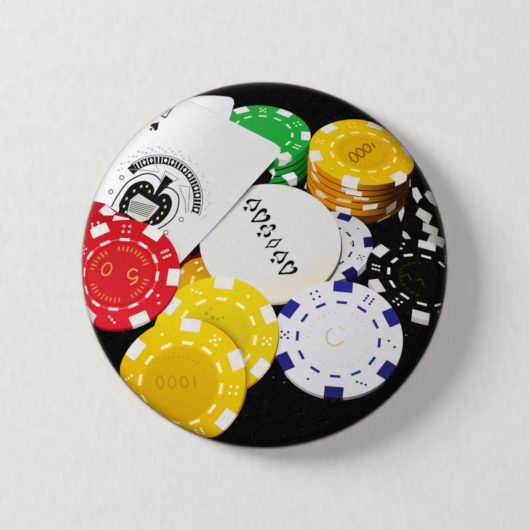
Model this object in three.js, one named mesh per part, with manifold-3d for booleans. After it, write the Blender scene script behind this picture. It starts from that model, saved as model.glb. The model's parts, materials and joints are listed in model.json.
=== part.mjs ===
// A round pin-back button badge, as worn: +Z up, the printed face looks towards -Y.
//
// A domed tin shell carries a printed paper sheet and a clear film, both wrapped round its rim.
// A dished tin back plate is clamped inside the rolled rim, and holds a bent spring-wire pin.
// The origin is the middle of the rim's rear plane, so everything lies at y <= 0.
// Lengths are millimetres.

import * as THREE from 'three';
import { mergeVertices } from 'three/addons/utils/BufferGeometryUtils.js';
import Module from 'manifold-3d';

const wasm = await Module();
wasm.setup();

// ---------------------------------------------------------------- driving dimensions

const BADGE_DIAMETER = 57.15; // the standard 2 1/4 inch button
const AROUND = 48; // flats round every turned piece
const SHOULDER_RADIUS = 3.0; // between the domed face and the side
const DOME_EDGE_SLOPE = THREE.MathUtils.degToRad(11); // where the dome meets the shoulder
const SIDE_HEIGHT = 0.3; // straight side, between the shoulder and the rear roll
const REAR_ROLL_RADIUS = 1.2; // side turning in to the rear plane
const REAR_FLAT = 1.15; // flat ring that the badge lies on
const TUCK_RADIUS = 0.8; // the edge curling back inside
const TUCK_LENGTH = 0.5;

// the three skins, from outside in: each begins this deep under the face, with a fitting gap
const FILM = { depth: 0.0, thickness: 0.1 };
const SHEET = { depth: 0.13, thickness: 0.15 };
const TIN = { depth: 0.31, thickness: 0.3 };

const BACK_TIN = 0.3; // thickness of the back plate
const PLATE_DEPTH = 2.15; // recessed plate, below the rear plane
const RING_DEPTH = 0.5; // raised ring round the plate
const PLATE_RADIUS = 20.8;
const RING_INNER_RADIUS = 22.0;
const SLOPE_SET_OUT = 0.1; // keeps the sheet's thickness on the slope between plate and ring
const CLAMP_GAP = 0.15; // between the curled edge and the back plate's wall
const FLANGE_DEPTH = 2.1; // the back plate's edge, trapped under the curl
const FLANGE_RADIUS = 27.1;

const WIRE_DIAMETER = 0.9;
const FIT = 0.3; // clearance round the wire
const ARM_HEIGHT = 9.5; // the wire lies above the middle, so the badge hangs upright
const ARM_LENGTH = 32;
const BEND_RADIUS = 2.6;
const BEND_X = -15.2; // where the bend ends and the arm begins
const TAIL_LENGTH = 20;
const TIP_TAPER = 4.5;
const TIP_SHOULDER = 0.55; // share of the wire's radius left a third of the way from the point
const WIRE_SIDES = 12;

const STRAP_WIDTH = 3.2;
const STRAP_PLACES = [-11.2, -1.6]; // middles of the two straps over the tail
const STRAP_SPREAD = 0.8; // how far each foot stands out from the loop over the wire
const CATCH_X = 13.6; // middle of the catch, along the arm
const CATCH_WIDTH = 3.4;
const CATCH_HEADROOM = 0.4; // above the wire, for the arm to slide out sideways
const CATCH_REACH = 0.55; // how far the tongue passes the wire's centre line
const CATCH_WINDOW_SHIFT = 0.4; // the window left by the tongue lies a little above the arm
const CATCH_WINDOW_MARGIN = 0.7; // and is this much wider than the wire on each side

// how finely the curves are stepped
const DOME_STEPS = 4;
const SHOULDER_STEPS = 5;
const ROLL_STEPS = 3;
const TUCK_STEPS = 2;
const WIRE_END_STEPS = 3;
const BEND_STEPS = 12;

const WINDOW_DEPTH = 3 * BACK_TIN; // the cutting blocks pass right through the plate
const WELD_DISTANCE = 1e-5; // corners nearer than this become one

// ---------------------------------------------------------------- shared shapes

const wireRadius = WIRE_DIAMETER / 2;
const plateY = -PLATE_DEPTH;
const wireY = plateY + FIT + wireRadius;
const tailHeight = ARM_HEIGHT - 2 * BEND_RADIUS;

// an arc of the badge's section: angle 0 faces the front, 90 the side, 180 the rear
function sectionArc(centreR, centreY, radius, fromDegrees, toDegrees, steps) {
  const points = [];
  for (let i = 0; i <= steps; i++) {
    const a = THREE.MathUtils.degToRad(fromDegrees + ((toDegrees - fromDegrees) * i) / steps);
    points.push(new THREE.Vector2(centreR + radius * Math.sin(a), centreY - radius * Math.cos(a)));
  }
  return points;
}

// the outside of the badge sunk by a depth: dome, shoulder, rear roll, flat ring, curled edge
function wrapLine(depth) {
  const outerR = BADGE_DIAMETER / 2;
  const rollR = outerR - REAR_ROLL_RADIUS;
  const tuckR = rollR - REAR_FLAT;
  const shoulderY = -REAR_ROLL_RADIUS - SIDE_HEIGHT;
  const shoulderR = outerR - SHOULDER_RADIUS;
  const edgeDegrees = THREE.MathUtils.radToDeg(DOME_EDGE_SLOPE);
  const domeEdgeR = shoulderR + SHOULDER_RADIUS * Math.sin(DOME_EDGE_SLOPE);
  const domeRadius = domeEdgeR / Math.sin(DOME_EDGE_SLOPE);
  const domeY = shoulderY + (domeRadius - SHOULDER_RADIUS) * Math.cos(DOME_EDGE_SLOPE);
  const dome = sectionArc(0, domeY, domeRadius - depth, 0, edgeDegrees, DOME_STEPS);
  const shoulderRadius = SHOULDER_RADIUS - depth;
  const shoulder = sectionArc(shoulderR, shoulderY, shoulderRadius, edgeDegrees, 90, SHOULDER_STEPS);
  const rollRadius = REAR_ROLL_RADIUS - depth;
  const roll = sectionArc(rollR, -REAR_ROLL_RADIUS, rollRadius, 90, 180, ROLL_STEPS);
  const tuck = sectionArc(tuckR, -TUCK_RADIUS, TUCK_RADIUS - depth, 180, 270, TUCK_STEPS);
  const end = new THREE.Vector2(tuckR - TUCK_RADIUS + depth, -TUCK_RADIUS - TUCK_LENGTH);
  return [...dome, ...shoulder.slice(1), ...roll, ...tuck, end];
}

// one skin: the space between two sunk outlines, turned round the badge's axis
function wrappedSkin({ depth, thickness }) {
  const outside = wrapLine(depth);
  const inside = wrapLine(depth + thickness);
  return new THREE.LatheGeometry([...outside, ...inside.reverse()], AROUND);
}

// flat outline in (z, y), drawn out along x
function alongX(outline, fromX, length) {
  const shape = new THREE.Shape(outline.map(([z, y]) => new THREE.Vector2(-z, y)));
  const geometry = new THREE.ExtrudeGeometry(shape, { depth: length, bevelEnabled: false });
  geometry.rotateY(Math.PI / 2);
  geometry.translate(fromX, 0, 0);
  return geometry;
}

function toManifold(geometry) {
  const bare = geometry.clone();
  bare.deleteAttribute('normal');
  bare.deleteAttribute('uv');
  const merged = mergeVertices(bare, WELD_DISTANCE);
  return new wasm.Manifold(
    new wasm.Mesh({
      numProp: 3,
      vertProperties: new Float32Array(merged.attributes.position.array),
      triVerts: new Uint32Array(merged.index.array),
    }),
  );
}

function fromManifold(solid) {
  const { vertProperties, triVerts } = solid.getMesh();
  const geometry = new THREE.BufferGeometry();
  geometry.setAttribute('position', new THREE.BufferAttribute(vertProperties, 3));
  geometry.setIndex(new THREE.BufferAttribute(triVerts, 1));
  geometry.computeVertexNormals();
  return geometry;
}

// ---------------------------------------------------------------- back plate

// the turned part: recessed plate, slope, raised ring, wall and trapped flange
function dishedPlate() {
  const wallR = BADGE_DIAMETER / 2 - REAR_ROLL_RADIUS - REAR_FLAT - TUCK_RADIUS - CLAMP_GAP;
  const profile = [
    [0, plateY - BACK_TIN],
    [PLATE_RADIUS + SLOPE_SET_OUT, plateY - BACK_TIN],
    [RING_INNER_RADIUS + SLOPE_SET_OUT, -RING_DEPTH - BACK_TIN],
    [wallR - BACK_TIN, -RING_DEPTH - BACK_TIN],
    [wallR - BACK_TIN, -FLANGE_DEPTH - BACK_TIN],
    [FLANGE_RADIUS, -FLANGE_DEPTH - BACK_TIN],
    [FLANGE_RADIUS, -FLANGE_DEPTH],
    [wallR, -FLANGE_DEPTH],
    [wallR, -RING_DEPTH],
    [RING_INNER_RADIUS, -RING_DEPTH],
    [PLATE_RADIUS, plateY],
    [0, plateY],
  ].map(([r, y]) => new THREE.Vector2(r, y));
  return new THREE.LatheGeometry(profile, AROUND);
}

// a strap pushed out of the plate over the tail, and the window it leaves
function strapOutline() {
  const inner = wireRadius + FIT;
  const outer = inner + BACK_TIN;
  const top = wireY + wireRadius + FIT;
  const sunk = plateY - BACK_TIN / 2;
  return [
    [tailHeight - outer - STRAP_SPREAD, sunk],
    [tailHeight - inner - STRAP_SPREAD, sunk],
    [tailHeight - inner, top],
    [tailHeight + inner, top],
    [tailHeight + inner + STRAP_SPREAD, sunk],
    [tailHeight + outer + STRAP_SPREAD, sunk],
    [tailHeight + outer, top + BACK_TIN],
    [tailHeight - outer, top + BACK_TIN],
  ];
}

// the catch: a tongue standing below the arm and reaching over it, open at the top
function catchOutline() {
  const near = ARM_HEIGHT - wireRadius - FIT;
  const root = near - BACK_TIN;
  const under = wireY + wireRadius + CATCH_HEADROOM;
  const reach = ARM_HEIGHT + CATCH_REACH;
  const sunk = plateY - BACK_TIN / 2;
  return [
    [root, sunk],
    [near, sunk],
    [near, under],
    [reach, under],
    [reach, under + BACK_TIN],
    [root, under + BACK_TIN],
  ];
}

function backPlate() {
  const window = (z, halfHeight, x, width) => {
    const block = new THREE.BoxGeometry(width, WINDOW_DEPTH, 2 * halfHeight);
    block.translate(x, plateY - BACK_TIN / 2, z);
    return toManifold(block);
  };
  let plate = toManifold(dishedPlate());
  const strapHalf = wireRadius + FIT + STRAP_SPREAD;
  for (const x of STRAP_PLACES) {
    plate = plate.subtract(window(tailHeight, strapHalf, x, STRAP_WIDTH));
  }
  const catchZ = ARM_HEIGHT + CATCH_WINDOW_SHIFT;
  const catchHalf = wireRadius + CATCH_WINDOW_MARGIN;
  plate = plate.subtract(window(catchZ, catchHalf, CATCH_X, CATCH_WIDTH));
  for (const x of STRAP_PLACES) {
    const strap = alongX(strapOutline(), x - STRAP_WIDTH / 2, STRAP_WIDTH);
    plate = plate.add(toManifold(strap));
  }
  const tongue = alongX(catchOutline(), CATCH_X - CATCH_WIDTH / 2, CATCH_WIDTH);
  return fromManifold(plate.add(toManifold(tongue)));
}

// ---------------------------------------------------------------- wire pin

// the held part of the wire: the tail under the straps and most of the bend
function anchorWire() {
  const centreZ = ARM_HEIGHT - BEND_RADIUS;
  const stop = (2 * FIT) / BEND_RADIUS; // the bend ends short of the arm's round end
  const tailEnd = new THREE.Vector3(BEND_X + TAIL_LENGTH, wireY, tailHeight);
  const swing = Math.PI - stop - wireRadius / BEND_RADIUS;
  const bend = [];
  for (let i = 0; i <= BEND_STEPS; i++) {
    const a = -Math.PI / 2 - (swing * i) / BEND_STEPS;
    const x = BEND_X + BEND_RADIUS * Math.cos(a);
    bend.push(new THREE.Vector3(x, wireY, centreZ + BEND_RADIUS * Math.sin(a)));
  }
  return sweptWire([tailEnd, ...bend]);
}

// a round wire through a list of points in the plate's plane, mitred at each
function sweptWire(points) {
  const rings = points.map((point, i) => {
    const before = points[Math.max(i - 1, 0)];
    const after = points[Math.min(i + 1, points.length - 1)];
    const ahead = after.clone().sub(before).normalize();
    const across = new THREE.Vector3(0, 1, 0);
    const side = across.clone().cross(ahead);
    return Array.from({ length: WIRE_SIDES }, (_, k) => {
      const a = (2 * Math.PI * k) / WIRE_SIDES;
      return point
        .clone()
        .addScaledVector(side, wireRadius * Math.cos(a))
        .addScaledVector(across, wireRadius * Math.sin(a));
    });
  });
  const positions = rings.flat();
  const index = [];
  const ringStart = (i) => i * WIRE_SIDES;
  for (let i = 0; i + 1 < rings.length; i++) {
    for (let k = 0; k < WIRE_SIDES; k++) {
      const next = (k + 1) % WIRE_SIDES;
      const [a, b] = [ringStart(i) + k, ringStart(i) + next];
      const [c, d] = [ringStart(i + 1) + k, ringStart(i + 1) + next];
      index.push(a, b, d, a, d, c);
    }
  }
  for (let k = 1; k + 1 < WIRE_SIDES; k++) {
    const last = ringStart(rings.length - 1);
    index.push(0, k + 1, k, last, last + k, last + k + 1);
  }
  const geometry = new THREE.BufferGeometry().setFromPoints(positions);
  geometry.setIndex(index);
  geometry.computeVertexNormals();
  return geometry;
}

// the moving part: a round end on the pivot, a straight arm and a ground point
function armWire() {
  const profile = sectionArc(0, 0, wireRadius, 0, 90, WIRE_END_STEPS);
  profile[0].x = 0;
  profile.push(new THREE.Vector2(wireRadius, ARM_LENGTH - TIP_TAPER));
  profile.push(new THREE.Vector2(wireRadius * TIP_SHOULDER, ARM_LENGTH - TIP_TAPER / 3));
  profile.push(new THREE.Vector2(0, ARM_LENGTH));
  const geometry = new THREE.LatheGeometry(profile, WIRE_SIDES);
  geometry.rotateZ(-Math.PI / 2); // the turned axis, +Y, becomes +X
  return geometry;
}

// ---------------------------------------------------------------- the badge

const finish = (color, roughness, metalness, extra = {}) =>
  new THREE.MeshStandardMaterial({ color, roughness, metalness, ...extra });
const clearFilm = finish(0xf4f6f8, 0.25, 0.0, { transparent: true, opacity: 0.15 });

const badge = new THREE.Group();
function addPiece(name, geometry, material, place = [0, 0, 0]) {
  const piece = new THREE.Mesh(geometry, material);
  piece.name = name;
  piece.position.set(...place);
  badge.add(piece);
}

addPiece('clear_film', wrappedSkin(FILM), clearFilm);
addPiece('printed_sheet', wrappedSkin(SHEET), finish(0x1a1a1a, 0.6, 0.0));
addPiece('front_shell', wrappedSkin(TIN), finish(0xb9bcc0, 0.4, 1.0));
addPiece('back_plate', backPlate(), finish(0xc4c7cb, 0.35, 1.0));
addPiece('pin_anchor', anchorWire(), finish(0xd8dadd, 0.25, 1.0));
addPiece('pin_arm', armWire(), finish(0xd8dadd, 0.25, 1.0), [BEND_X, wireY, ARM_HEIGHT]);

export default badge;
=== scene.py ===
# %% [markdown]
# # A pin-back button badge
# A button badge is a domed tin shell with a printed paper sheet and a clear film drawn over it.
# A tin back plate is pressed into the rim and holds a spring-wire pin.
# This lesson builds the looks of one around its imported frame, piece by piece, from the outside in.
# The frame has the badge upright: +Z is up, the printed face looks towards -Y, the pin is at the back.

# %% Load the frame and the tools
import json
import math

import bpy
import bmesh
import numpy as np
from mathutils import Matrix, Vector
from mathutils.geometry import delaunay_2d_cdt

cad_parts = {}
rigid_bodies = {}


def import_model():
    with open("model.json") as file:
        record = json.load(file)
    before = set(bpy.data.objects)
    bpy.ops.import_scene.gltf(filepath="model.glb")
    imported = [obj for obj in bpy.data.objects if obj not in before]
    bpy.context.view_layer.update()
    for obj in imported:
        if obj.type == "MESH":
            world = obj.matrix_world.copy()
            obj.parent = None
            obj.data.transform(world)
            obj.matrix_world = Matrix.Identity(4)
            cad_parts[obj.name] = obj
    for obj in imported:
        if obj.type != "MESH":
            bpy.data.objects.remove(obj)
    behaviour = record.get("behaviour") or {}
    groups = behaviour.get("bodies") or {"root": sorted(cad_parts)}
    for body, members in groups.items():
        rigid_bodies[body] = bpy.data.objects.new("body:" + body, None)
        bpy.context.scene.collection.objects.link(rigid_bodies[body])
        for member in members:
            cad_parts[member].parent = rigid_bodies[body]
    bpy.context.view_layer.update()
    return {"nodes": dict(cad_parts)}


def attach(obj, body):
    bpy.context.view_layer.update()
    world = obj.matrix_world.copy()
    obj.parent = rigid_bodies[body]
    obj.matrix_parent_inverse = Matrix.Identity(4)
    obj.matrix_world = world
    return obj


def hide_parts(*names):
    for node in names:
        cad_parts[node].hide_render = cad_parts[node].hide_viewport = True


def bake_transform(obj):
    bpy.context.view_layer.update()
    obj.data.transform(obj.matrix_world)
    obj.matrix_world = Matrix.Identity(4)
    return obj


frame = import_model()
MM = 0.001
print("frame pieces:", sorted(frame["nodes"]))

# %% [markdown]
# ## The camera
# The badge is looked at straight on. A long lens far away keeps its outline a true circle.
# A short lens close by would show more of the dome's middle and hide the rim, so it is not used.
# The Standard view transform is chosen because printed inks should come out as they were mixed.

# %% Camera and colour handling
SENSOR_WIDTH = 36.0
CAMERA_AWAY = 0.75
WIDEST_Y = -1.35 * MM
VIEW_WIDTH = 82.62 * MM
VIEW_SHIFT = (0.09 * MM, -0.05 * MM)

camera_data = bpy.data.cameras.new("straight_on")
camera_data.sensor_width = SENSOR_WIDTH
camera_data.lens = SENSOR_WIDTH * (CAMERA_AWAY + WIDEST_Y) / VIEW_WIDTH
camera_data.clip_start = 0.01
camera_data.clip_end = 10.0
camera = bpy.data.objects.new("straight_on", camera_data)
camera.location = (VIEW_SHIFT[0], -CAMERA_AWAY, VIEW_SHIFT[1])
camera.rotation_euler = (math.radians(90), 0, 0)
scene = bpy.context.scene
scene.collection.objects.link(camera)
scene.camera = camera
scene.view_settings.view_transform = "Standard"
print("lens, mm:", round(camera_data.lens, 1))

# %% [markdown]
# ## The badge's section
# Film, paper and tin all follow one line: a shallow dome, a rounded shoulder, a short straight side,
# a roll round to the back, a flat ring and an edge that curls inside. The press forms them together.
# So the line is written once, and each skin is that line sunk by its own depth.

# %% The pressed section
BADGE_RADIUS = 57.15 / 2
SHOULDER_RADIUS = 3.0
DOME_EDGE = 11.0
SIDE_HEIGHT = 0.3
ROLL_RADIUS = 1.2
REAR_FLAT = 1.15
TUCK_RADIUS = 0.8
TUCK_LENGTH = 0.5

SHOULDER_R = BADGE_RADIUS - SHOULDER_RADIUS
SHOULDER_Y = -ROLL_RADIUS - SIDE_HEIGHT
DOME_EDGE_R = SHOULDER_R + SHOULDER_RADIUS * math.sin(math.radians(DOME_EDGE))
DOME_RADIUS = DOME_EDGE_R / math.sin(math.radians(DOME_EDGE))
DOME_Y = SHOULDER_Y + (DOME_RADIUS - SHOULDER_RADIUS) * math.cos(math.radians(DOME_EDGE))
ROLL_R = BADGE_RADIUS - ROLL_RADIUS
TUCK_R = ROLL_R - REAR_FLAT
PRESSED_ARCS = (
    (0.0, DOME_Y, DOME_RADIUS, 0, DOME_EDGE),
    (SHOULDER_R, SHOULDER_Y, SHOULDER_RADIUS, DOME_EDGE, 90),
    (ROLL_R, -ROLL_RADIUS, ROLL_RADIUS, 90, 180),
    (TUCK_R, -TUCK_RADIUS, TUCK_RADIUS, 180, 270),
)


def pressed_line(depth, spacing):
    """Points (radius, y, lean) of the section sunk by a depth, no further apart than the spacing."""
    points = []
    for centre_r, centre_y, radius, first, last in PRESSED_ARCS:
        sunk = radius - depth
        sweep = math.radians(last - first)
        steps = max(3, math.ceil(sweep * sunk / spacing))
        for i in range(steps + 1):
            lean = math.radians(first) + sweep * i / steps
            points.append((centre_r + sunk * math.sin(lean), centre_y - sunk * math.cos(lean), lean))
    edge_r = points[-1][0]
    points.append((edge_r, -TUCK_RADIUS - TUCK_LENGTH, math.radians(270)))
    return points


print("dome radius, mm:", round(DOME_RADIUS, 1), "height, mm:", round(DOME_RADIUS - DOME_Y, 2))

# %% [markdown]
# ## Turning a section into a skin
# A press turns flat discs into round shells, so every skin here is a section spun round the axis.
# A Screw modifier could spin it too. Plain mesh code keeps the middle closed with a clean fan.

# %% Spin a closed section round the badge's axis
AROUND = 192
ON_AXIS = 1e-6
SKIN_SPACING = 0.5


def finish_mesh(name, vertices, faces, sharp_degrees=35):
    """A smooth-shaded object from vertices in millimetres, with creases where faces meet sharply."""
    mesh = bpy.data.meshes.new(name)
    mesh.from_pydata([tuple(c * MM for c in v) for v in vertices], [], faces)
    mesh.validate()
    mesh.shade_smooth()
    mesh.set_sharp_from_angle(angle=math.radians(sharp_degrees))
    piece = bpy.data.objects.new(name, mesh)
    scene.collection.objects.link(piece)
    print(name, "faces:", len(mesh.polygons))
    return piece


def spun(section, around=AROUND):
    """Vertices and faces of a closed section, (radius, y) from the axis out and back, spun round."""
    vertices = []
    rings = []
    for radius, y in section:
        if radius < ON_AXIS:
            rings.append([len(vertices)] * around)
            vertices.append((0.0, y, 0.0))
            continue
        rings.append(list(range(len(vertices), len(vertices) + around)))
        for k in range(around):
            a = 2 * math.pi * k / around
            vertices.append((radius * math.cos(a), y, radius * math.sin(a)))
    faces = []
    for ring, after in zip(rings, rings[1:]):
        for k in range(around):
            n = (k + 1) % around
            corners = (ring[k], ring[n], after[n], after[k])
            faces.append(tuple(dict.fromkeys(corners)))
    return vertices, faces


def skin(name, depth, thickness):
    """One pressed skin: the space between the section sunk by two depths."""
    outside = [(r, y) for r, y, lean in pressed_line(depth, SKIN_SPACING)]
    under = [(r, y) for r, y, lean in pressed_line(depth + thickness, SKIN_SPACING)]
    return finish_mesh(name, *spun(outside + under[::-1]))


# %% [markdown]
# ## Clear film
# The outermost skin is polyester film, a tenth of a millimetre thick. It gives the badge its gloss.
# It is a body of its own here, so that light can pass through it to the print and also glance off it.

# %% Clear film
FILM_DEPTH = 0.0
FILM_THICKNESS = 0.1
film = skin("clear_film_skin", FILM_DEPTH, FILM_THICKNESS)
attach(film, "badge")
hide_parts("clear_film")
print("film corners:", len(film.data.vertices))

# %% [markdown]
# ## Front shell
# Under the paper is thin tinplate, pressed to the same line. Only its curled edge is seen from behind.

# %% Front shell
TIN_DEPTH = 0.31
TIN_THICKNESS = 0.3
front_shell = skin("front_shell_pressing", TIN_DEPTH, TIN_THICKNESS)
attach(front_shell, "badge")
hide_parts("front_shell")
print("front shell corners:", len(front_shell.data.vertices))

# %% [markdown]
# ## Mixing inks
# The print is a still life of a card table: chips in stacks, two cards and a plain white dealer disc.
# It could be a painted texture. Here each printed shape is a patch of mesh with its own ink instead,
# so every edge stays crisp however close one looks, and the inks fade softly inside each shape.
# Inks are given in the 0 to 255 steps of a swatch book and turned into linear light.

# %% Inks and fades
SWATCH_STEPS = 255
TOE = 0.04045
TOE_SLOPE = 12.92
LIFT = 0.055
GAMMA = 2.4


def ink(red, green, blue):
    """A swatch colour as linear light, by the sRGB curve: a straight toe, then a power."""
    steps = [value / SWATCH_STEPS for value in (red, green, blue)]
    return tuple(s / TOE_SLOPE if s <= TOE else ((s + LIFT) / (1 + LIFT)) ** GAMMA for s in steps)


def eased(t):
    """0 to 1 with soft ends."""
    t = min(max(t, 0.0), 1.0)
    return t * t * (3 - 2 * t)


def mixed(first, last, share):
    """The value a share of the way from first to last."""
    return tuple(a + (b - a) * share for a, b in zip(first, last))


def fading(first, last, start, end):
    """An ink that turns from first to last on the way from one point to another."""
    along = (end[0] - start[0], end[1] - start[1])
    length_squared = along[0] ** 2 + along[1] ** 2

    def there(x, z):
        """The ink at one place."""
        t = ((x - start[0]) * along[0] + (z - start[1]) * along[1]) / length_squared
        return mixed(first, last, eased(t))

    return there


FELT = ink(7, 7, 7)
CARD = ink(217, 217, 220)
WHITE_BLOCK = ink(213, 211, 216)
WHITE_SIDE = ink(176, 172, 166)
print("felt ink in linear light:", [round(c, 4) for c in FELT])

# %% [markdown]
# ## Laying the picture
# A printer's artwork is laid back to front, and what comes later covers what came before.
# `paint` adds a shape, and `cast` darkens everything already laid, as the shadow of the next thing.

# %% Artwork lists
layers = []
shade_falls = []


def paint(outline, ink_there):
    """Lays one closed shape, points (x, z) in millimetres, in a plain ink or one that varies."""
    layers.append((outline, ink_there))


def cast(shade_there):
    """Darkens all that lies below the next shape by a factor that depends on the place."""
    shade_falls.append((len(layers), shade_there))


def round_spot(x, z, radius, points=10):
    """A small round patch."""
    turns = [2 * math.pi * k / points for k in range(points)]
    return [(x + radius * math.cos(a), z + radius * math.sin(a)) for a in turns]


def stroke(line, width):
    """A line of even width as a closed outline."""
    left = []
    right = []
    for i, (x, z) in enumerate(line):
        before = line[max(i - 1, 0)]
        after = line[min(i + 1, len(line) - 1)]
        dx, dz = after[0] - before[0], after[1] - before[1]
        reach = width / 2 / math.hypot(dx, dz)
        left.append((x - dz * reach, z + dx * reach))
        right.append((x + dz * reach, z - dx * reach))
    return left + right[::-1]


def rounded_line(points, steps=6, closed=False):
    """A smooth curve through the points."""
    count = len(points)
    curve = []
    for i in range(count if closed else count - 1):
        if closed:
            a, b, c, d = (points[(i + k) % count] for k in (-1, 0, 1, 2))
        else:
            a, b, c, d = (points[min(max(i + k, 0), count - 1)] for k in (-1, 0, 1, 2))
        for s in range(steps):
            t = s / steps
            weights = (
                -0.5 * t + t * t - 0.5 * t**3,
                1 - 2.5 * t * t + 1.5 * t**3,
                0.5 * t + 2 * t * t - 1.5 * t**3,
                -0.5 * t * t + 0.5 * t**3,
            )
            x = sum(w * p[0] for w, p in zip(weights, (a, b, c, d)))
            z = sum(w * p[1] for w, p in zip(weights, (a, b, c, d)))
            curve.append((x, z))
    return curve if closed else curve + [points[-1]]


# %% [markdown]
# ## A chip seen at a slant
# A round chip lying on the table shows as an oval. Its face has six blocks of colour at the rim,
# twelve dashes on an inner ring, and groups of one to six pips between the blocks.
# The face is laid out in the chip's own radii and then leaned, squashed and moved into place.

# %% Chip faces
PIP_GROUPS = {
    1: [(0, 0)],
    2: [(-1, 1), (1, -1)],
    3: [(-1, -1), (0, 0), (1, 1)],
    4: [(-1, -1), (-1, 1), (1, -1), (1, 1)],
    5: [(-1, -1), (-1, 1), (0, 0), (1, -1), (1, 1)],
    6: [(-1, -1), (0, -1), (1, -1), (-1, 1), (0, 1), (1, 1)],
}
GROUP_ORDER = (6, 4, 5, 1, 3, 2)
PIP_RADIUS = 0.022
PIP_STEP = 0.05
PIP_RING = 0.83
BLOCK_INNER = 0.81
BLOCK_HALF = 0.15
BLOCK_STEPS = 4
DASH_HALF = (0.024, 0.083)
TWELFTH = math.radians(30)


def chip(x, z, half_width, half_height, lean, turn):
    """Where a chip lies in the picture: its middle, half sizes, lean of the oval and turn of the face."""
    return {
        "middle": (x, z),
        "half": (half_width, half_height),
        "lean": math.radians(lean),
        "turn": math.radians(turn),
    }


def rotated(u, v, angle):
    """A point turned about the middle."""
    return u * math.cos(angle) - v * math.sin(angle), u * math.sin(angle) + v * math.cos(angle)


def on_chip(c, u, v, turn=0.0, drop=(0, 0)):
    """A point of the face, given in chip radii, as a point of the picture."""
    u, v = rotated(u, v, turn + c["turn"])
    u, v = rotated(u * c["half"][0], v * c["half"][1], c["lean"])
    return c["middle"][0] + u + drop[0], c["middle"][1] + v + drop[1]


def chip_share(c, x, z):
    """How far out on a chip a point of the picture lies: 0 in the middle, 1 at the rim."""
    u, v = rotated(x - c["middle"][0], z - c["middle"][1], -c["lean"])
    return math.hypot(u / c["half"][0], v / c["half"][1])


def oval(c, share=1.0, drop=(0, 0), points=96):
    """The oval of a chip's rim, or of a share of it, shifted by a drop."""
    turns = [2 * math.pi * k / points for k in range(points)]
    return [on_chip(c, share * math.cos(a), share * math.sin(a), drop=drop) for a in turns]


def block_rim(c, index, drop=(0, 0)):
    """The part of a chip's rim that one block of colour reaches."""
    half = math.asin(BLOCK_HALF)
    turns = [half - 2 * half * k / BLOCK_STEPS for k in range(BLOCK_STEPS + 1)]
    turn = TWELFTH * index
    return [on_chip(c, math.cos(a), math.sin(a), turn, drop) for a in turns]


def lay_side(c, drop, side, block, first_block):
    """The edge of a chip that shows below its face."""
    paint(oval(c, drop=drop), side)
    for index in range(first_block, 12, 2):
        paint(block_rim(c, index) + block_rim(c, index, drop)[::-1], block)


def lay_blocks(c, first_block, block):
    """Six blocks of colour at the rim."""
    for index in range(first_block, 12, 2):
        turn = TWELFTH * index
        inner = [on_chip(c, BLOCK_INNER, side * BLOCK_HALF, turn) for side in (-1, 1)]
        paint(inner + block_rim(c, index), block)


def lay_dashes(c, ring, mark):
    """Twelve dashes on a ring."""
    out, along = DASH_HALF
    for index in range(12):
        corners = ((-out, -along), (out, -along), (out, along), (-out, along))
        paint([on_chip(c, ring + u, v, TWELFTH * index) for u, v in corners], mark)


def lay_pips(c, six_at, pip):
    """Groups of pips between the blocks. The six lies at a given twelfth of the rim."""
    for place, count in enumerate(GROUP_ORDER):
        turn = TWELFTH * (six_at + 2 * place)
        for out, along in PIP_GROUPS[count]:
            u, v = PIP_RING + out * PIP_STEP, along * PIP_STEP
            ring = round_spot(u, v, PIP_RADIUS)
            paint([on_chip(c, p, q, turn) for p, q in ring], pip)


def lay_ticks(c, count, gaps, ring, half_width, tone, longer=0.0):
    """A ring of ticks in place of small lettering. Each half of it leaves out some ticks."""
    for step in range(count):
        if step % (count // 2) in gaps:
            continue
        extra = 0.0 if step % 3 else longer
        near, far = ring[0] - extra, ring[1] + extra
        corners = ((near, -half_width), (far, -half_width), (far, half_width), (near, half_width))
        turn = 2 * math.pi * step / count
        paint([on_chip(c, u, v, turn) for u, v in corners], tone)

def lay_face(c, face, block, mark, pip, first_block, six_at, ring=0.635):
    """A whole chip face: ground, blocks, dashes and pips."""
    paint(oval(c), face)
    lay_blocks(c, first_block, block)
    lay_dashes(c, ring, mark)
    lay_pips(c, six_at, pip)


def rim_shade(c, strength, reach, towards):
    """The soft shadow that a chip throws beyond its rim, on the side it is thrown towards."""
    size = sum(c["half"]) / 2
    lean = math.radians(towards)

    def there(x, z):
        """The share of light left at one place."""
        outside = (chip_share(c, x, z) - 1) * size
        if not 0 <= outside < reach:
            return 1.0
        facing = math.atan2(z - c["middle"][1], x - c["middle"][0]) - lean
        return 1 - strength * (1 - eased(outside / reach)) * max(0.0, math.cos(facing))

    return there


# %% [markdown]
# ## The dark corner of the table
# The table is black felt, and the whole sheet starts as felt. At the right stands a heap of black
# chips. Black on black, only their white edge blocks tell them apart, so those are what is drawn.

# %% Felt and the heap of black chips
PAPER_DEPTH = 0.13
PAPER_THICKNESS = 0.15
FINE_SPACING = 0.02
paper_line = pressed_line(PAPER_DEPTH, FINE_SPACING)
paper_run = [0.0]
for here, after in zip(paper_line, paper_line[1:]):
    paper_run.append(paper_run[-1] + math.hypot(after[0] - here[0], after[1] - here[1]))
PAPER_RADIUS = paper_run[-1]

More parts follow.
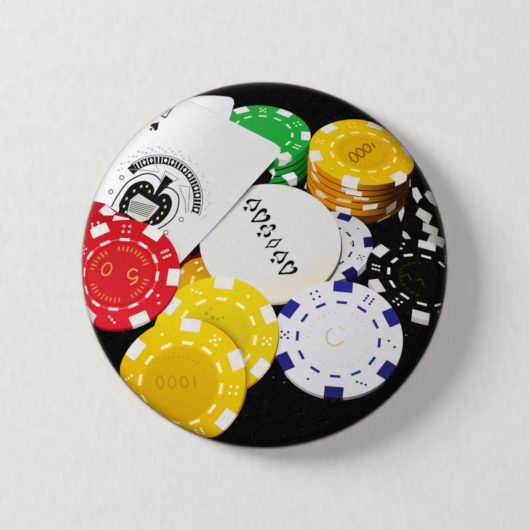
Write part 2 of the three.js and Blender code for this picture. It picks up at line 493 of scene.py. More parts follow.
paint(round_spot(0, 0, PAPER_RADIUS, AROUND), FELT)
heap_white = fading(ink(196, 194, 188), ink(168, 166, 160), (22, 12), (29, 3))
for block in (
    [(23.1, 11.9), (23.8, 12.1), (24.7, 10.5), (24.2, 10.2), (23.9, 9.6), (23.2, 10.7)],
    [(25.1, 11.0), (25.7, 11.7), (27.9, 11.8), (28.5, 10.2), (27.5, 9.3), (26.1, 9.8)],
    [(23.6, 7.8), (24.2, 8.9), (26.3, 7.7), (25.6, 6.3)],
    [(24.7, 5.3), (24.8, 6.6), (27.4, 5.6), (27.0, 4.4)],
    [(25.3, 3.5), (25.9, 4.7), (29.4, 4.0), (28.0, 2.5)],
    [(23.9, 2.6), (24.0, 3.5), (26.6, 2.8), (26.3, 1.8)],
    [(21.5, 4.5), (21.6, 5.3), (22.3, 4.8), (23.1, 3.6), (22.6, 3.4)],
    [(21.3, 9.8), (21.7, 9.2), (21.8, 8.3), (21.3, 6.7), (20.9, 7.7), (21.0, 8.9)],
    [(22.1, 13.2), (22.8, 13.4), (22.8, 12.2), (22.1, 12.2)],
    [(21.7, 11.8), (22.0, 11.4), (21.8, 10.2), (21.7, 10.2)],
):
    paint(block, heap_white)
print("flat paper radius, mm:", round(PAPER_RADIUS, 2))

# %% [markdown]
# ## Green stack
# Behind the cards stands a stack of green chips. Only the top face and a little of the side show,
# so the lower chips are ovals laid one below another with a dark line between them.

# %% Green stack
green_chip = chip(-0.31, 20.5, 7.5, 4.3, -5, 2)
green_side = fading(ink(26, 140, 50), ink(0, 66, 8), (3, 16), (7.2, 14))
green_gap = ink(0, 38, 4)
for drop in (-4.9, -3.8, -2.75, -1.75):
    paint(oval(green_chip, drop=(-0.35, drop)), green_gap)
    paint(oval(green_chip, drop=(-0.3, drop + 0.28)), green_side)
lay_side(green_chip, (-0.1, -0.75), green_side, WHITE_SIDE, 0)
lay_face(
    green_chip,
    fading(ink(40, 157, 62), ink(22, 156, 48), (-2, 24), (3, 17)),
    WHITE_BLOCK,
    ink(190, 222, 190),
    ink(205, 228, 205),
    first_block=0,
    six_at=11,
    ring=0.62,
)
for block, tone in (
    ([(2.1, 15.3), (2.5, 16.6), (4.0, 16.7), (4.0, 16.2), (3.1, 15.4)], ink(184, 178, 178)),
    ([(2.5, 16.4), (2.8, 17.3), (3.5, 17.5), (4.0, 16.7), (3.6, 16.2)], ink(208, 202, 204)),
    ([(0.3, 13.4), (0.4, 14.4), (1.5, 15.0), (1.7, 14.1), (1.2, 13.3)], ink(205, 215, 208)),
    ([(2.6, 13.8), (4.5, 14.4), (5.1, 13.6), (3.5, 13.0)], ink(222, 220, 220)),
    ([(3.5, 13.0), (5.1, 13.6), (5.0, 12.4), (4.0, 12.2)], ink(196, 172, 172)),
    ([(6.2, 12.0), (6.5, 12.8), (6.8, 12.3), (6.4, 11.7)], ink(150, 185, 200)),
):
    paint(block, tone)
print("shapes laid so far:", len(layers))

# %% [markdown]
# ## Yellow stack
# The tallest stack leans a little, and its right side falls into shade. Each chip of the side has
# its own drop and set-off, as a stack pushed together by hand has.

# %% Yellow stack
YELLOW_BLOCK = ink(214, 209, 200)
stack_chip = chip(15.46, 17.55, 8.50, 5.08, -7, -11)
side_light = fading(ink(200, 122, 4), ink(54, 26, 0), (12.5, 12), (20.5, 12))
side_gap = fading(ink(116, 60, 0), ink(22, 9, 0), (10, 12), (19, 12))
for drop, shift, width, tone in (
    (-6.1, -1.1, 7.9, ink(84, 40, 0)),
    (-5.05, -0.85, 8.0, side_light),
    (-4.0, -0.75, 8.05, side_light),
    (-2.95, -0.7, 8.1, side_light),
    (-1.95, -0.55, 8.2, side_light),
):
    lower = chip(15.46 + shift, 17.70 + drop, width, 5.0, -7, -11)
    paint(oval(lower, drop=(0, -0.2)), side_gap)
    paint(oval(lower), tone)
paint(oval(stack_chip, drop=(-0.12, -1.02)), side_gap)
lay_side(stack_chip, (-0.1, -0.82), side_light, YELLOW_BLOCK, 1)
for block, tone in (
    ([(12.0, 12.0), (14.4, 11.7), (14.4, 11.1), (12.0, 11.4)], ink(190, 182, 165)),
    ([(12.6, 11.6), (15.2, 11.3), (15.1, 10.6), (12.6, 11.0)], ink(214, 206, 190)),
    ([(13.9, 10.6), (16.3, 10.3), (16.1, 9.95), (13.9, 10.2)], ink(206, 190, 160)),
    ([(11.2, 10.4), (13.6, 9.9), (13.4, 9.5), (11.2, 9.9)], ink(204, 182, 140)),
    ([(15.3, 9.2), (17.7, 9.5), (17.4, 8.7), (15.3, 8.4)], ink(206, 198, 178)),
    ([(11.1, 9.1), (13.4, 8.7), (13.3, 7.6), (11.1, 8.3)], ink(212, 200, 180)),
    ([(19.0, 8.9), (20.6, 10.0), (20.4, 8.8), (19.0, 7.8)], ink(124, 118, 100)),
    ([(7.9, 11.7), (8.7, 11.4), (9.8, 10.4), (9.0, 10.3), (8.1, 10.9)], ink(206, 186, 150)),
    ([(7.2, 16.4), (7.6, 16.0), (8.2, 14.3), (7.6, 14.7)], ink(214, 202, 170)),
    ([(7.2, 14.6), (7.9, 13.9), (8.7, 12.6), (7.7, 13.3)], ink(206, 192, 150)),
    ([(17.6, 6.8), (19.6, 7.8), (19.4, 7.5), (17.6, 6.6)], ink(150, 132, 100)),
):
    paint(block, tone)

stack_ring = fading(ink(211, 178, 2), ink(217, 167, 0), (9, 17), (20, 21))
stack_middle = ink(204, 158, 0)
lay_face(stack_chip, stack_ring, YELLOW_BLOCK, ink(232, 218, 130), ink(226, 208, 96), 1, 2, 0.60)
paint(oval(stack_chip, 0.52), ink(208, 166, 0))
paint(oval(stack_chip, 0.50), stack_middle)
stack_brown = ink(140, 84, 12)
lay_ticks(stack_chip, 26, (2, 3, 9), (0.385, 0.43), 0.016, ink(182, 128, 14))
print("shapes laid so far:", len(layers))

# %% [markdown]
# Some chips carry a plain count in the middle of the face. Only numerals are used.
# A nought is one oval of ink with a smaller oval of the ground laid back inside it.

# %% Plain numerals
def nought(x, z, half_width, half_height, lean, weight, tone, ground):
    """A nought of an even stroke, leaning by some degrees."""
    body = chip(x, z, half_width, half_height, lean, 0)
    hole = chip(x, z, half_width - weight, half_height - weight, lean, 0)
    paint(oval(body, points=28), tone)
    paint(oval(hole, points=28), ground)


for place, (x, z) in enumerate(((13.9, 16.75), (14.95, 17.45), (16.0, 18.15))):
    nought(x, z, 0.62, 1.02 - 0.08 * place, 42, 0.27, stack_brown, stack_middle)
paint(stroke([(16.65, 19.0), (17.35, 18.3)], 0.27), stack_brown)
print("shapes laid so far:", len(layers))

# %% [markdown]
# ## Small white chip behind the disc, and the black chip at the right
# Both are faces with little or no side. The black chip's ring of gold is hinted at with thin strokes.

# %% White chip behind the disc
far_white = chip(9.50, 2.73, 7.36, 5.46, 9, -3)
far_side = fading(ink(150, 148, 145), ink(40, 40, 40), (15, 0), (12, -4))
lay_side(far_white, (0.1, -0.8), far_side, ink(14, 14, 50), 0)
far_ground = fading(ink(190, 190, 188), ink(206, 204, 206), (12, 8), (14, -1))
far_blue = ink(22, 21, 88)
lay_face(far_white, far_ground, far_blue, ink(30, 30, 92), ink(34, 34, 80), 0, 7, 0.58)
paint(round_spot(13.5, 3.3, 0.22), ink(168, 160, 132))
print("shapes laid so far:", len(layers))

# %% [markdown]
# The black chip lies at the edge of the light. Its gold has nearly gone, so thin threads hint at it.

# %% Black chip
black_chip = chip(24.92, -2.44, 9.55, 5.90, -21, 40)
lay_side(black_chip, (-0.1, -0.75), ink(4, 4, 4), WHITE_SIDE, 0)
black_face = ink(11, 10, 10)
black_block = ink(206, 204, 200)
lay_face(black_chip, black_face, black_block, ink(222, 220, 214), ink(220, 218, 212), 0, 5, 0.61)
gold_thread = ink(62, 52, 20)
for index in range(5, 17):
    turn = math.radians(14 * index)
    arc = [on_chip(black_chip, 0.42, 0.0, turn + math.radians(step)) for step in (0, 4, 8)]
    paint(stroke(arc, 0.16), gold_thread)
paint(stroke([(21.2, -1.9), (22.4, -1.5), (22.9, -2.5)], 0.2), gold_thread)
paint(stroke([(23.7, -2.5), (24.5, -2.2), (24.9, -3.3)], 0.2), gold_thread)
print("shapes laid so far:", len(layers))

# %% [markdown]
# ## Slivers between the cards and the disc
# A dark red chip and an orange one peep out between the big shapes.

# %% Slivers
paint([(-10.1, 3.6), (-13.6, -0.8), (-10.4, 0.6), (-9.4, 1.0), (-9.6, 2.6)], ink(96, 8, 6))
paint([(-10.1, 3.6), (-11.6, 1.7), (-11.0, 1.2), (-9.6, 2.6)], ink(20, 4, 3))
orange_sliver = fading(ink(190, 128, 4), ink(204, 158, 16), (-10, 1), (-12, -3.5))
far_orange = [(-14.2, -2.0), (-13.2, -0.8), (-12.3, 0.1), (-11.3, 0.75), (-9.6, 1.2), (-6.5, 1.0)]
paint(far_orange + [(-6.0, -4.0), (-14.0, -5.0)], orange_sliver)
paint(stroke([(-11.35, -2.95), (-10.95, -1.75)], 0.4), ink(232, 214, 140))
paint(stroke([(-10.4, -1.0), (-9.6, -0.4)], 0.4), ink(232, 214, 140))
paint(round_spot(-10.55, 0.3, 0.24), ink(240, 224, 170))
paint([(-13.2, -1.0), (-12.6, -0.6), (-12.4, -1.2), (-13.0, -1.6)], ink(214, 205, 190))
print("shapes laid so far:", len(layers))

# %% [markdown]
# ## The dealer disc
# A plain white disc lies in the middle. A row of the four card suits runs across it, in place of words.
# Each suit is half an outline, mirrored, smoothed and stamped at its size and slant.

# %% Suit marks
HALF_SUITS = {
    "spade": [(0, 1.0), (0.2, 0.66), (0.55, 0.3), (0.84, -0.05), (0.82, -0.42), (0.5, -0.56), (0.14, -0.34),
              (0.12, -0.62), (0.34, -0.98), (0, -1.0)],
    "heart": [(0, 0.55), (0.2, 0.88), (0.55, 0.96), (0.88, 0.68), (0.82, 0.18), (0.42, -0.42), (0, -1.0)],
    "diamond": [(0, 1.0), (0.22, 0.56), (0.6, 0), (0.22, -0.56), (0, -1.0)],
    "club": [(0, 1.0), (0.3, 0.9), (0.42, 0.58), (0.24, 0.22), (0.6, 0.26), (0.88, -0.06), (0.74, -0.46),
             (0.36, -0.5), (0.1, -0.24), (0.12, -0.6), (0.34, -0.98), (0, -1.0)],
}


def suit(kind, x, z, size, up, slim=1.0):
    """A suit mark of a given half height, whose top points up degrees from +X."""
    right = HALF_SUITS[kind]
    left = [(-u, v) for u, v in right[1:-1]]
    outline = rounded_line(right + left[::-1], 3, closed=True)
    turn = math.radians(up - 90)
    corners = [rotated(u * size * slim, v * size, turn) for u, v in outline]
    return [(x + u, z + v) for u, v in corners]
print("shapes laid so far:", len(layers))

# %% [markdown]
# The disc has a low wall that shows at the lower right, as three ovals set off a little from each other.

# %% Disc
disc = chip(0.88, 3.40, 10.9, 9.1, 0, 0)
cast(rim_shade(disc, 0.55, 1.1, -70))
disc_wall = fading(ink(200, 190, 164), ink(92, 84, 68), (-2, -5.5), (11, -3))
gap_by_the_ace = [(0.25, 15.0), (-4.0, 10.4), (-1.0, 12.0), (0.7, 12.4), (1.3, 13.9)]
paint(gap_by_the_ace, ink(13, 17, 12))
paint(oval(disc, drop=(0.3, -0.66)), ink(40, 35, 28))
paint(oval(disc, drop=(0.22, -0.52)), disc_wall)
paint(oval(disc, drop=(0.1, -0.2)), ink(206, 199, 182))
disc_ground = fading(ink(208, 208, 205), ink(214, 207, 190), (0, -1), (2, -6))
paint(oval(disc), disc_ground)
ROW_START = (-1.75, 9.35)
ROW_END = (3.5, -0.75)
ROW_UP = 28
for place, kind in enumerate(("spade", "heart", "club", "diamond", "spade", "heart")):
    x, z = mixed(ROW_START, ROW_END, place / 5)
    paint(suit(kind, x, z, 1.6, ROW_UP, 0.74), ink(12, 12, 14))
    paint(suit(kind, x, z, 0.98, ROW_UP, 0.62), disc_ground)
print("shapes laid so far:", len(layers))

# %% [markdown]
# ## White chip in front
# The clearest chip of the picture: white with dark blue blocks, dashes and pips, and a faint gold
# mark in the middle that has nearly worn off.

# %% White chip in front
front_white = chip(11.50, -11.62, 10.10, 9.10, -6, 1)
front_blue = fading(ink(36, 42, 142), ink(36, 34, 104), (8, -2), (13, -20))
white_side = fading(ink(168, 162, 150), ink(60, 58, 52), (4, -18), (20, -19))
lay_side(front_white, (0.0, -0.42), white_side, ink(14, 12, 44), 1)
front_ground = fading(ink(214, 212, 217), ink(205, 205, 208), (7, -6), (18, -18))
lay_face(front_white, front_ground, front_blue, ink(42, 44, 128), ink(40, 40, 100), 1, 2)
lay_ticks(front_white, 32, (1, 2, 7, 8), (0.44, 0.50), 0.012, ink(203, 198, 186))
worn_gold = ink(196, 184, 142)
worn_nought = [(10.5, -9.9), (9.7, -10.6), (9.8, -12.0), (11.0, -12.6), (12.3, -11.9)]
paint(stroke(rounded_line(worn_nought), 0.3), worn_gold)
paint(stroke([(11.6, -9.6), (12.6, -10.4)], 0.22), ink(198, 192, 174))
print("shapes laid so far:", len(layers))

# %% [markdown]
# ## Two cards
# A blank card back and, over it, the ace of spades. A card is a rounded rectangle seen at a slant.
# The ace has an ornate spade inside a ring band. The band carries plain blocks and lozenges.

# %% Card behind
back_card = [
    (-33, 28.0), (-12.9, 27.2), (-6.1, 26.3), (-5.3, 26.15), (-4.85, 25.8), (-4.75, 25.2),
    (-5.6, 22.2), (-20, 14),
]
# Painted highlight: the blank card's ink is lighter towards the top rim, where the shoulder would catch the
# light.
paint(back_card, fading(ink(238, 238, 240), ink(210, 210, 213), (-12, 27), (-6, 23)))
print("shapes laid so far:", len(layers))

# %% [markdown]
# The ace lies over the blank card and throws a narrow shadow along its lower right edge.
# A thrown shadow is a factor on all the inks below it, so it needs no shape of its own.

# %% Ace of spades, the card itself
CARD_EDGE_TOP = (0.15, 14.75)
CARD_EDGE_FOOT = (-13.4, 0.1)
SHADE_REACH = 1.15
SHADE_TAPER = 0.8
SHADE_STRENGTH = 0.92
SHADE_OVERLAP = 0.2
SHADE_LEAD = 2


def card_shade(x, z):
    """The narrow shadow under the card's lower right edge, wider at its top."""
    dx, dz = CARD_EDGE_FOOT[0] - CARD_EDGE_TOP[0], CARD_EDGE_FOOT[1] - CARD_EDGE_TOP[1]
    length = math.hypot(dx, dz)
    along = ((x - CARD_EDGE_TOP[0]) * dx + (z - CARD_EDGE_TOP[1]) * dz) / length
    beyond = (-(x - CARD_EDGE_TOP[0]) * dz + (z - CARD_EDGE_TOP[1]) * dx) / length
    reach = SHADE_REACH - SHADE_TAPER * min(max(along / length, 0.0), 1.0)
    if beyond < -SHADE_OVERLAP or beyond > reach or along < -SHADE_LEAD:
        return 1.0
    return 1 - SHADE_STRENGTH * (1 - eased(beyond / reach))


cast(card_shade)
ace_card = [
    (-34, 36.6), (-5.6, 22.6), (1.3, 19.05), (2.0, 18.6), (2.45, 18.1), (2.5, 17.6), (2.3, 17.1),
    (0.1, 14.7), (-2.6, 11.7), (-4.6, 9.4), (-7.7, 5.95), (-10.1, 3.4), (-13.2, 0.1), (-20, -7), (-36, 8),
]
# Painted highlight: the ace's ink is lighter towards the upper-left rim, for the light falling on the
# shoulder.
paint(ace_card, fading(ink(230, 230, 232), ink(207, 207, 208), (-21, 16), (-12, 10)))
paint(stroke([(-5.6, 22.62), (-14.0, 26.9)], 0.1), ink(196, 197, 202))
paint(suit("spade", -17.25, 21.85, 1.0, 42), ink(34, 34, 30))
for line in ([(-16.5, 24.1), (-14.9, 24.9)], [(-15.5, 23.2), (-14.4, 25.9)], [(-16.7, 24.0), (-15.5, 23.1)]):
    paint(stroke(line, 0.3), ink(60, 60, 56))
print("shapes laid so far:", len(layers))

# %% [markdown]
# A printed band circles the big spade. Plain blocks, lozenges and bars fill it, in place of words.

# %% Ring band round the ornate spade
BAND = (-16.56, 10.16)
BAND_LINES = ((6.97, 0.13, ink(96, 96, 90)), (6.74, 0.1, ink(150, 150, 146)), (5.62, 0.16, ink(70, 70, 62)))
band_black = ink(26, 26, 22)
BAND_INNER = 5.6
BAND_OUTER = 6.7
LOZENGE_RADIUS = 6.2
CELL = 10.5
CELL_FILLED = 0.88
BARS = ((0.0, 3.8), (5.4, 9.2))
LACE_SPOTS = 44

def on_band(radius, degrees):
    """A point at a radius from the band's middle."""
    a = math.radians(degrees)
    return BAND[0] + radius * math.cos(a), BAND[1] + radius * math.sin(a)

def band_arc(radius, first, last, longest=4):
    """Points along the band, a few degrees apart."""
    steps = math.ceil((last - first) / longest)
    return [on_band(radius, first + (last - first) * k / steps) for k in range(steps + 1)]

def band_block(inner, outer, first, last):
    """A piece of the band between two radii and two angles."""
    return band_arc(inner, first, last) + band_arc(outer, first, last)[::-1]

for radius, width, tone in BAND_LINES:
    paint(stroke(band_arc(radius, -22, 128), width), tone)
for cell in range(14):
    first = -20 + CELL * cell
    if cell % 3 == 1:
        for start, end in BARS:
            paint(band_block(BAND_INNER, BAND_OUTER, first + start, first + end), band_black)
        continue
    paint(band_block(BAND_INNER, BAND_OUTER, first, first + CELL * CELL_FILLED), band_black)
    middle = first + CELL * CELL_FILLED / 2
    paint(suit("diamond", *on_band(LOZENGE_RADIUS, middle), 0.42, middle), CARD)
paint(band_block(5.5, 6.9, 126, 135), band_black)
lace = ink(176, 176, 174)
for step in range(LACE_SPOTS):
    x, z = on_band(7.5 + 0.32 * (step % 3), -24 + 3.9 * step)
    paint(round_spot(x, z, 0.17 + 0.05 * (step % 2), 7), lace)
    paint(round_spot(x, z, 0.09, 5), CARD)
print("shapes laid so far:", len(layers))

# %% [markdown]
# The big spade is a smooth black shape inside thin outlines, with a ruled panel and small lozenges.

# %% The ornate spade
spade_black = ink(22, 22, 18)
spade_line = ink(62, 62, 54)
for curve in (
    [(-23.9, 9.0), (-22.9, 10.8), (-21.4, 12.8), (-19.5, 13.9), (-18.2, 14.2), (-17.0, 13.9), (-16.2, 13.1)],
    [(-15.4, 12.0), (-14.5, 11.85), (-13.5, 10.9), (-13.3, 9.7), (-13.8, 7.8), (-15.1, 6.4), (-16.8, 5.4)],
):
    paint(stroke(rounded_line(curve), 0.26), spade_line)
spade_body = [
    (-22.8, 8.2), (-22.7, 9.4), (-22.1, 10.6), (-21.2, 12.0), (-20.1, 12.8), (-18.7, 13.1), (-17.6, 12.6),
    (-17.1, 11.7), (-17.25, 10.9), (-16.6, 10.7), (-15.7, 11.1), (-14.8, 10.8), (-14.35, 9.8), (-14.5, 8.7),
    (-15.1, 7.6), (-16.3, 6.4), (-17.8, 5.8), (-21.5, 3.5), (-24.5, 5.5),
]
paint(rounded_line(spade_body, 4, closed=True), spade_black)
paint([(-17.3, 10.7), (-16.9, 10.4), (-14.15, 13.05), (-15.4, 14.0)], spade_black)
paint(stroke([(-16.25, 12.75), (-15.4, 14.6), (-13.35, 13.35), (-15.7, 12.1)], 0.14), spade_line)
panel = [(-19.6, 11.1), (-16.3, 9.0), (-18.1, 7.0), (-19.4, 6.6), (-21.4, 7.9), (-20.9, 10.1)]
paint(panel, ink(200, 200, 194))
PANEL_ROWS = 8
for row in range(1, PANEL_ROWS):
    near = mixed((-20.7, 10.2), (-21.2, 8.2), row / PANEL_ROWS)
    far = mixed((-16.7, 9.2), (-18.3, 7.1), row / PANEL_ROWS)
    paint(stroke([near, far], 0.14), ink(64, 64, 56))
spade_lozenges = (
    (-20.3, 11.5), (-19.2, 12.2), (-18.3, 12.2), (-17.9, 11.4), (-21.5, 10.3), (-21.9, 9.1), (-21.6, 8.2),
    (-15.6, 10.0), (-15.4, 9.0), (-15.9, 8.0), (-16.6, 7.2), (-17.6, 6.6), (-18.7, 6.0),
)
for x, z in spade_lozenges:
    paint(suit("diamond", x, z, 0.3, 60), ink(206, 206, 200))
for x, z in ((-22.3, 13.6), (-24.0, 11.4), (-12.9, 7.0), (-15.3, 5.0)):
    paint(round_spot(x, z, 0.42, 14), ink(110, 110, 106))
    paint(round_spot(x, z, 0.24, 12), CARD)
for line in (
    [(-21.2, 14.9), (-18.4, 14.7), (-16.4, 14.4), (-16.9, 15.6)],
    [(-13.3, 12.3), (-11.6, 12.1), (-11.8, 8.2)],
    [(-13.2, 12.0), (-12.3, 9.8), (-12.2, 8.0)],
):
    paint(stroke(line, 0.14), ink(120, 120, 114))
print("shapes laid so far:", len(layers))

# %% [markdown]
# ## Two more yellow chips, two red ones
# These are the nearest chips, so they are laid last and cover the rest.

# %% Second yellow chip
near_yellow = chip(-7.59, -11.17, 9.90, 9.13, 25, -32)
yellow_mark = ink(238, 228, 168)
yellow_side = fading(ink(190, 128, 4), ink(120, 70, 0), (-2, -18), (3, -16))
cast(rim_shade(near_yellow, 0.5, 0.7, -60))
lay_side(near_yellow, (0.1, -0.35), yellow_side, ink(196, 190, 176), 1)
lay_face(
    near_yellow,
    fading(ink(218, 194, 14), ink(212, 186, 14), (-10, -4), (-3, -18)),
    ink(219, 216, 212),
    yellow_mark,
    yellow_mark,
    1,
    8,
)
paint(oval(near_yellow, 0.575), ink(212, 188, 14))
paint(oval(near_yellow, 0.55), fading(ink(211, 189, 12), ink(204, 176, 24), (-7, -6), (-4, -14)))
scuffs = ((-9.0, -7.6, 0.3), (-8.0, -8.2, 0.35), (-7.2, -8.4, 0.28), (-6.4, -8.2, 0.25), (-8.3, -6.9, 0.2))
for x, z, size in scuffs:
    paint(round_spot(x, z, size), ink(176, 152, 20))
print("shapes laid so far:", len(layers))

# %% [markdown]
# One red chip lies behind the other, so only its upper edge and two of its blocks are laid.

# %% Red chips
red_edge = fading(ink(186, 20, 32), ink(150, 8, 20), (-28, 9), (-20, 6))


def far_red_shade(x, z):
    """The faint shadow on the ace, above the red chip that lies behind."""
    if x >= -17 or z <= 6:
        return 1.0
    return 1 - 0.25 * (1 - eased((z - 3.5 + 0.4 * (18 + x)) / 1.6))

cast(far_red_shade)
far_red = [
    (-31, 5.4), (-29.5, 10.65), (-28.4, 10.5), (-25.0, 9.6), (-23.0, 8.3), (-21.0, 7.2), (-19.9, 6.7),
    (-18.0, 3.1), (-25.9, 2.3), (-31, 2.3),
]
paint(far_red, red_edge)
paint([(-24.8, 9.4), (-25.9, 8.4), (-25.1, 7.7), (-23.7, 7.7), (-23.2, 8.1)], ink(222, 216, 216))
paint([(-23.4, 7.7), (-21.1, 7.2), (-21.0, 6.7), (-23.8, 6.6)], ink(216, 210, 206))
for x, z in ((-27.1, 6.4), (-27.0, 5.9), (-26.0, 6.6), (-25.9, 6.1)):
    paint(round_spot(x, z, 0.2), ink(236, 214, 214))

near_red = chip(-22.66, -1.51, 9.66, 8.36, 20, -26)
cast(rim_shade(near_red, 0.45, 0.6, -40))
lay_side(near_red, (0.1, -0.38), ink(140, 10, 24), ink(190, 176, 172), 0)
red_face = fading(ink(192, 20, 30), ink(210, 32, 50), (-20, 7), (-24, -9))
paint(oval(near_red), red_face)
paint(oval(near_red, 0.645), ink(226, 96, 104))
paint(oval(near_red, 0.629), red_face)
lay_blocks(near_red, 0, ink(220, 217, 216))
lay_dashes(near_red, 0.637, ink(240, 216, 214))
lay_pips(near_red, 1, ink(238, 204, 204))
paint(oval(near_red, 0.575), ink(183, 22, 32))
red_middle = fading(ink(196, 32, 40), ink(204, 34, 46), (-22, 2), (-24, -6))
paint(oval(near_red, 0.555), red_middle)
red_gold = ink(206, 132, 62)
lay_ticks(near_red, 40, (0, 1, 2, 12, 13), (0.434, 0.506), 0.011, red_gold, longer=0.014)
five = [
    (-19.7, -1.0), (-20.4, -0.7), (-21.1, -1.1), (-21.2, -1.9), (-20.5, -2.2), (-19.8, -1.9),
    (-20.0, -2.6), (-20.9, -3.1),
]
paint(stroke(rounded_line(five), 0.24), ink(216, 160, 82))
nought(-24.6, -0.7, 0.8, 1.15, -28, 0.22, ink(214, 150, 76), red_middle)
print("shapes laid so far:", len(layers))

# %% [markdown]
# The nearest yellow chip covers the edge of the other one. Its count is only stamped, so it is faint.

# %% Nearest yellow chip
front_yellow = chip(-13.10, -18.67, 10.65, 9.79, 51, -59)
cast(rim_shade(front_yellow, 0.42, 1.3, 10))
lay_side(front_yellow, (0.34, 0.02), ink(176, 112, 6), ink(190, 176, 150), 1)
yellow_ground = fading(ink(219, 190, 6), ink(216, 166, 0), (-9, -10), (-19, -24))
lay_face(front_yellow, yellow_ground, ink(219, 216, 214), yellow_mark, yellow_mark, 1, 10)
paint(oval(front_yellow, 0.59), fading(ink(213, 180, 8), ink(204, 156, 2), (-9, -12), (-16, -24)))
paint(oval(front_yellow, 0.565), fading(ink(208, 168, 6), ink(202, 154, 2), (-10, -13), (-16, -24)))
faint_gold = ink(178, 134, 6)
front_middle = ink(205, 161, 4)
for x in (-16.3, -14.4, -12.5):
    nought(x, -18.3, 0.68, 1.05, 8, 0.27, faint_gold, front_middle)
paint(stroke([(-10.95, -17.4), (-10.75, -19.2)], 0.3), faint_gold)
for step in range(5, 14):
    turn = math.radians(10 * step)
    paint(round_spot(-13.4 + 4.6 * math.cos(turn), -18.6 + 4.3 * math.sin(turn), 0.14, 8), faint_gold)
print("shapes laid so far:", len(layers))

# %% [markdown]
# A few specks of lint keep the black from looking like plain paint.

# %% Specks of lint on the felt
lint = (
    (22.1, -11.0, 0.1), (1.4, -17.5, 0.07), (3.1, -18.3, 0.09), (-22.0, -10.6, 0.05), (-20.9, -12.4, 0.05),
)
for x, z, size in lint:
    paint(round_spot(x, z, size, 7), ink(170, 172, 170))
print("artwork shapes:", len(layers), "shadows:", len(shade_falls))

# %% [markdown]
# ## Cutting the picture into a mosaic
# A Delaunay cut takes every outline at once and splits the sheet along all of them.
# Each small tile then lies wholly inside or outside each shape, and the shape laid last wins it.
# Extra points on a fine grid let the sheet bend with the dome and let the fades stay smooth.

# %% Cut along every outline
GRID_STEP = 0.5
RIM_STARTS = 26.2
RING_STEP = 0.24
ROW_STEP = GRID_STEP * math.sqrt(0.75)
EDGE_MARGIN = 0.1
RIM_LEAD = 1
MERGE_DISTANCE = 1e-5
LONGEST_EDGE = 1.2
LONGEST_RIM_EDGE = 0.3


def short_edges(outline):
    """The same outline with points added, so that no long edge cuts straight through the bend."""
    points = []
    for here, there in zip(outline, outline[1:] + outline[:1]):
        near_rim = max(math.hypot(*here), math.hypot(*there)) > RIM_STARTS - RIM_LEAD
        pieces = math.ceil(math.dist(here, there) / (LONGEST_RIM_EDGE if near_rim else LONGEST_EDGE))
        points.extend(mixed(here, there, step / pieces) for step in range(max(pieces, 1)))
    return points


sheet_points = []
sheet_edges = []
for outline, tone in layers:
    outline = short_edges(list(outline))
    first, count = len(sheet_points), len(outline)
    sheet_points.extend(Vector(p) for p in outline)
    sheet_edges.extend((first + k, first + (k + 1) % count) for k in range(count))
rows = int(RIM_STARTS / ROW_STEP)
for j in range(-rows, rows + 1):
    z = j * ROW_STEP
    reach = int(math.sqrt(RIM_STARTS**2 - z * z) / GRID_STEP)
    for i in range(-reach, reach + 1):
        x = (i + 0.5 * (j % 2)) * GRID_STEP
        if math.hypot(x, z) < RIM_STARTS - EDGE_MARGIN:
            sheet_points.append(Vector((x, z)))
ring_radii = np.arange(RIM_STARTS, PAPER_RADIUS - EDGE_MARGIN, RING_STEP)
for i, radius in enumerate(ring_radii):
    for k in range(AROUND):
        a = 2 * math.pi * (k + 0.5 * (i % 2)) / AROUND
        sheet_points.append(Vector((radius * math.cos(a), radius * math.sin(a))))
mosaic_cut = delaunay_2d_cdt(sheet_points, sheet_edges, [], 0, MERGE_DISTANCE, False)
cut_points, cut_faces = mosaic_cut[0], mosaic_cut[2]
cut_places = np.array([tuple(p) for p in cut_points])
cut_middles = cut_places[np.array(cut_faces)].mean(axis=1)


def inside(outline, places):
    """Which of the places lie inside a closed outline: a ray from them crosses it an odd number of times."""
    odd = np.zeros(len(places), bool)
    for (ax, az), (bx, bz) in zip(outline, outline[1:] + outline[:1]):
        if az == bz:
            continue
        spans = (places[:, 1] < az) != (places[:, 1] < bz)
        crossing = ax + (places[:, 1] - az) * (bx - ax) / (bz - az)
        odd ^= spans & (places[:, 0] < crossing)
    return odd


top_shape = np.full(len(cut_faces), -1)
for number, (outline, tone) in enumerate(layers):
    corners = np.array(outline)
    near = np.all((cut_middles >= corners.min(0)) & (cut_middles <= corners.max(0)), axis=1)
    near_tiles = np.flatnonzero(near)
    top_shape[near_tiles[inside(outline, cut_middles[near_tiles])]] = number
on_sheet = inside(layers[0][0], cut_middles)
tiles = [(face, int(top)) for face, top, on in zip(cut_faces, top_shape, on_sheet) if on]
print("mosaic tiles:", len(tiles), "points:", len(cut_points))

# %% [markdown]
# ## Bending the sheet round the shell
# A flat point keeps its distance from the middle, measured along the bent paper, as in the real press.
# So nothing stretches where the picture turns over the shoulder and round to the back.

# %% Bend the mosaic and close it with a plain underside
run_r = [p[0] for p in paper_line]
run_y = [p[1] for p in paper_line]
run_lean = [p[2] for p in paper_line]


def bent(x, z):
    """Place and outward direction of a point of the flat sheet once it is on the badge."""
    run = math.hypot(x, z)
    out = (x / run, z / run) if run > ON_AXIS else (0.0, 0.0)
    r = float(np.interp(run, paper_run, run_r))
    y = float(np.interp(run, paper_run, run_y))
    lean = float(np.interp(run, paper_run, run_lean))
    facing = (math.sin(lean) * out[0], -math.cos(lean), math.sin(lean) * out[1])
    return (r * out[0], y, r * out[1]), facing


used = sorted({v for face, top in tiles for v in face})
sheet_number = {v: i for i, v in enumerate(used)}
sheet_vertices = []
sheet_facings = []
for v in used:
    place, facing = bent(*cut_points[v])
    sheet_vertices.append(place)
    sheet_facings.append(facing)
sheet_faces = [tuple(sheet_number[v] for v in face) for face, top in tiles]

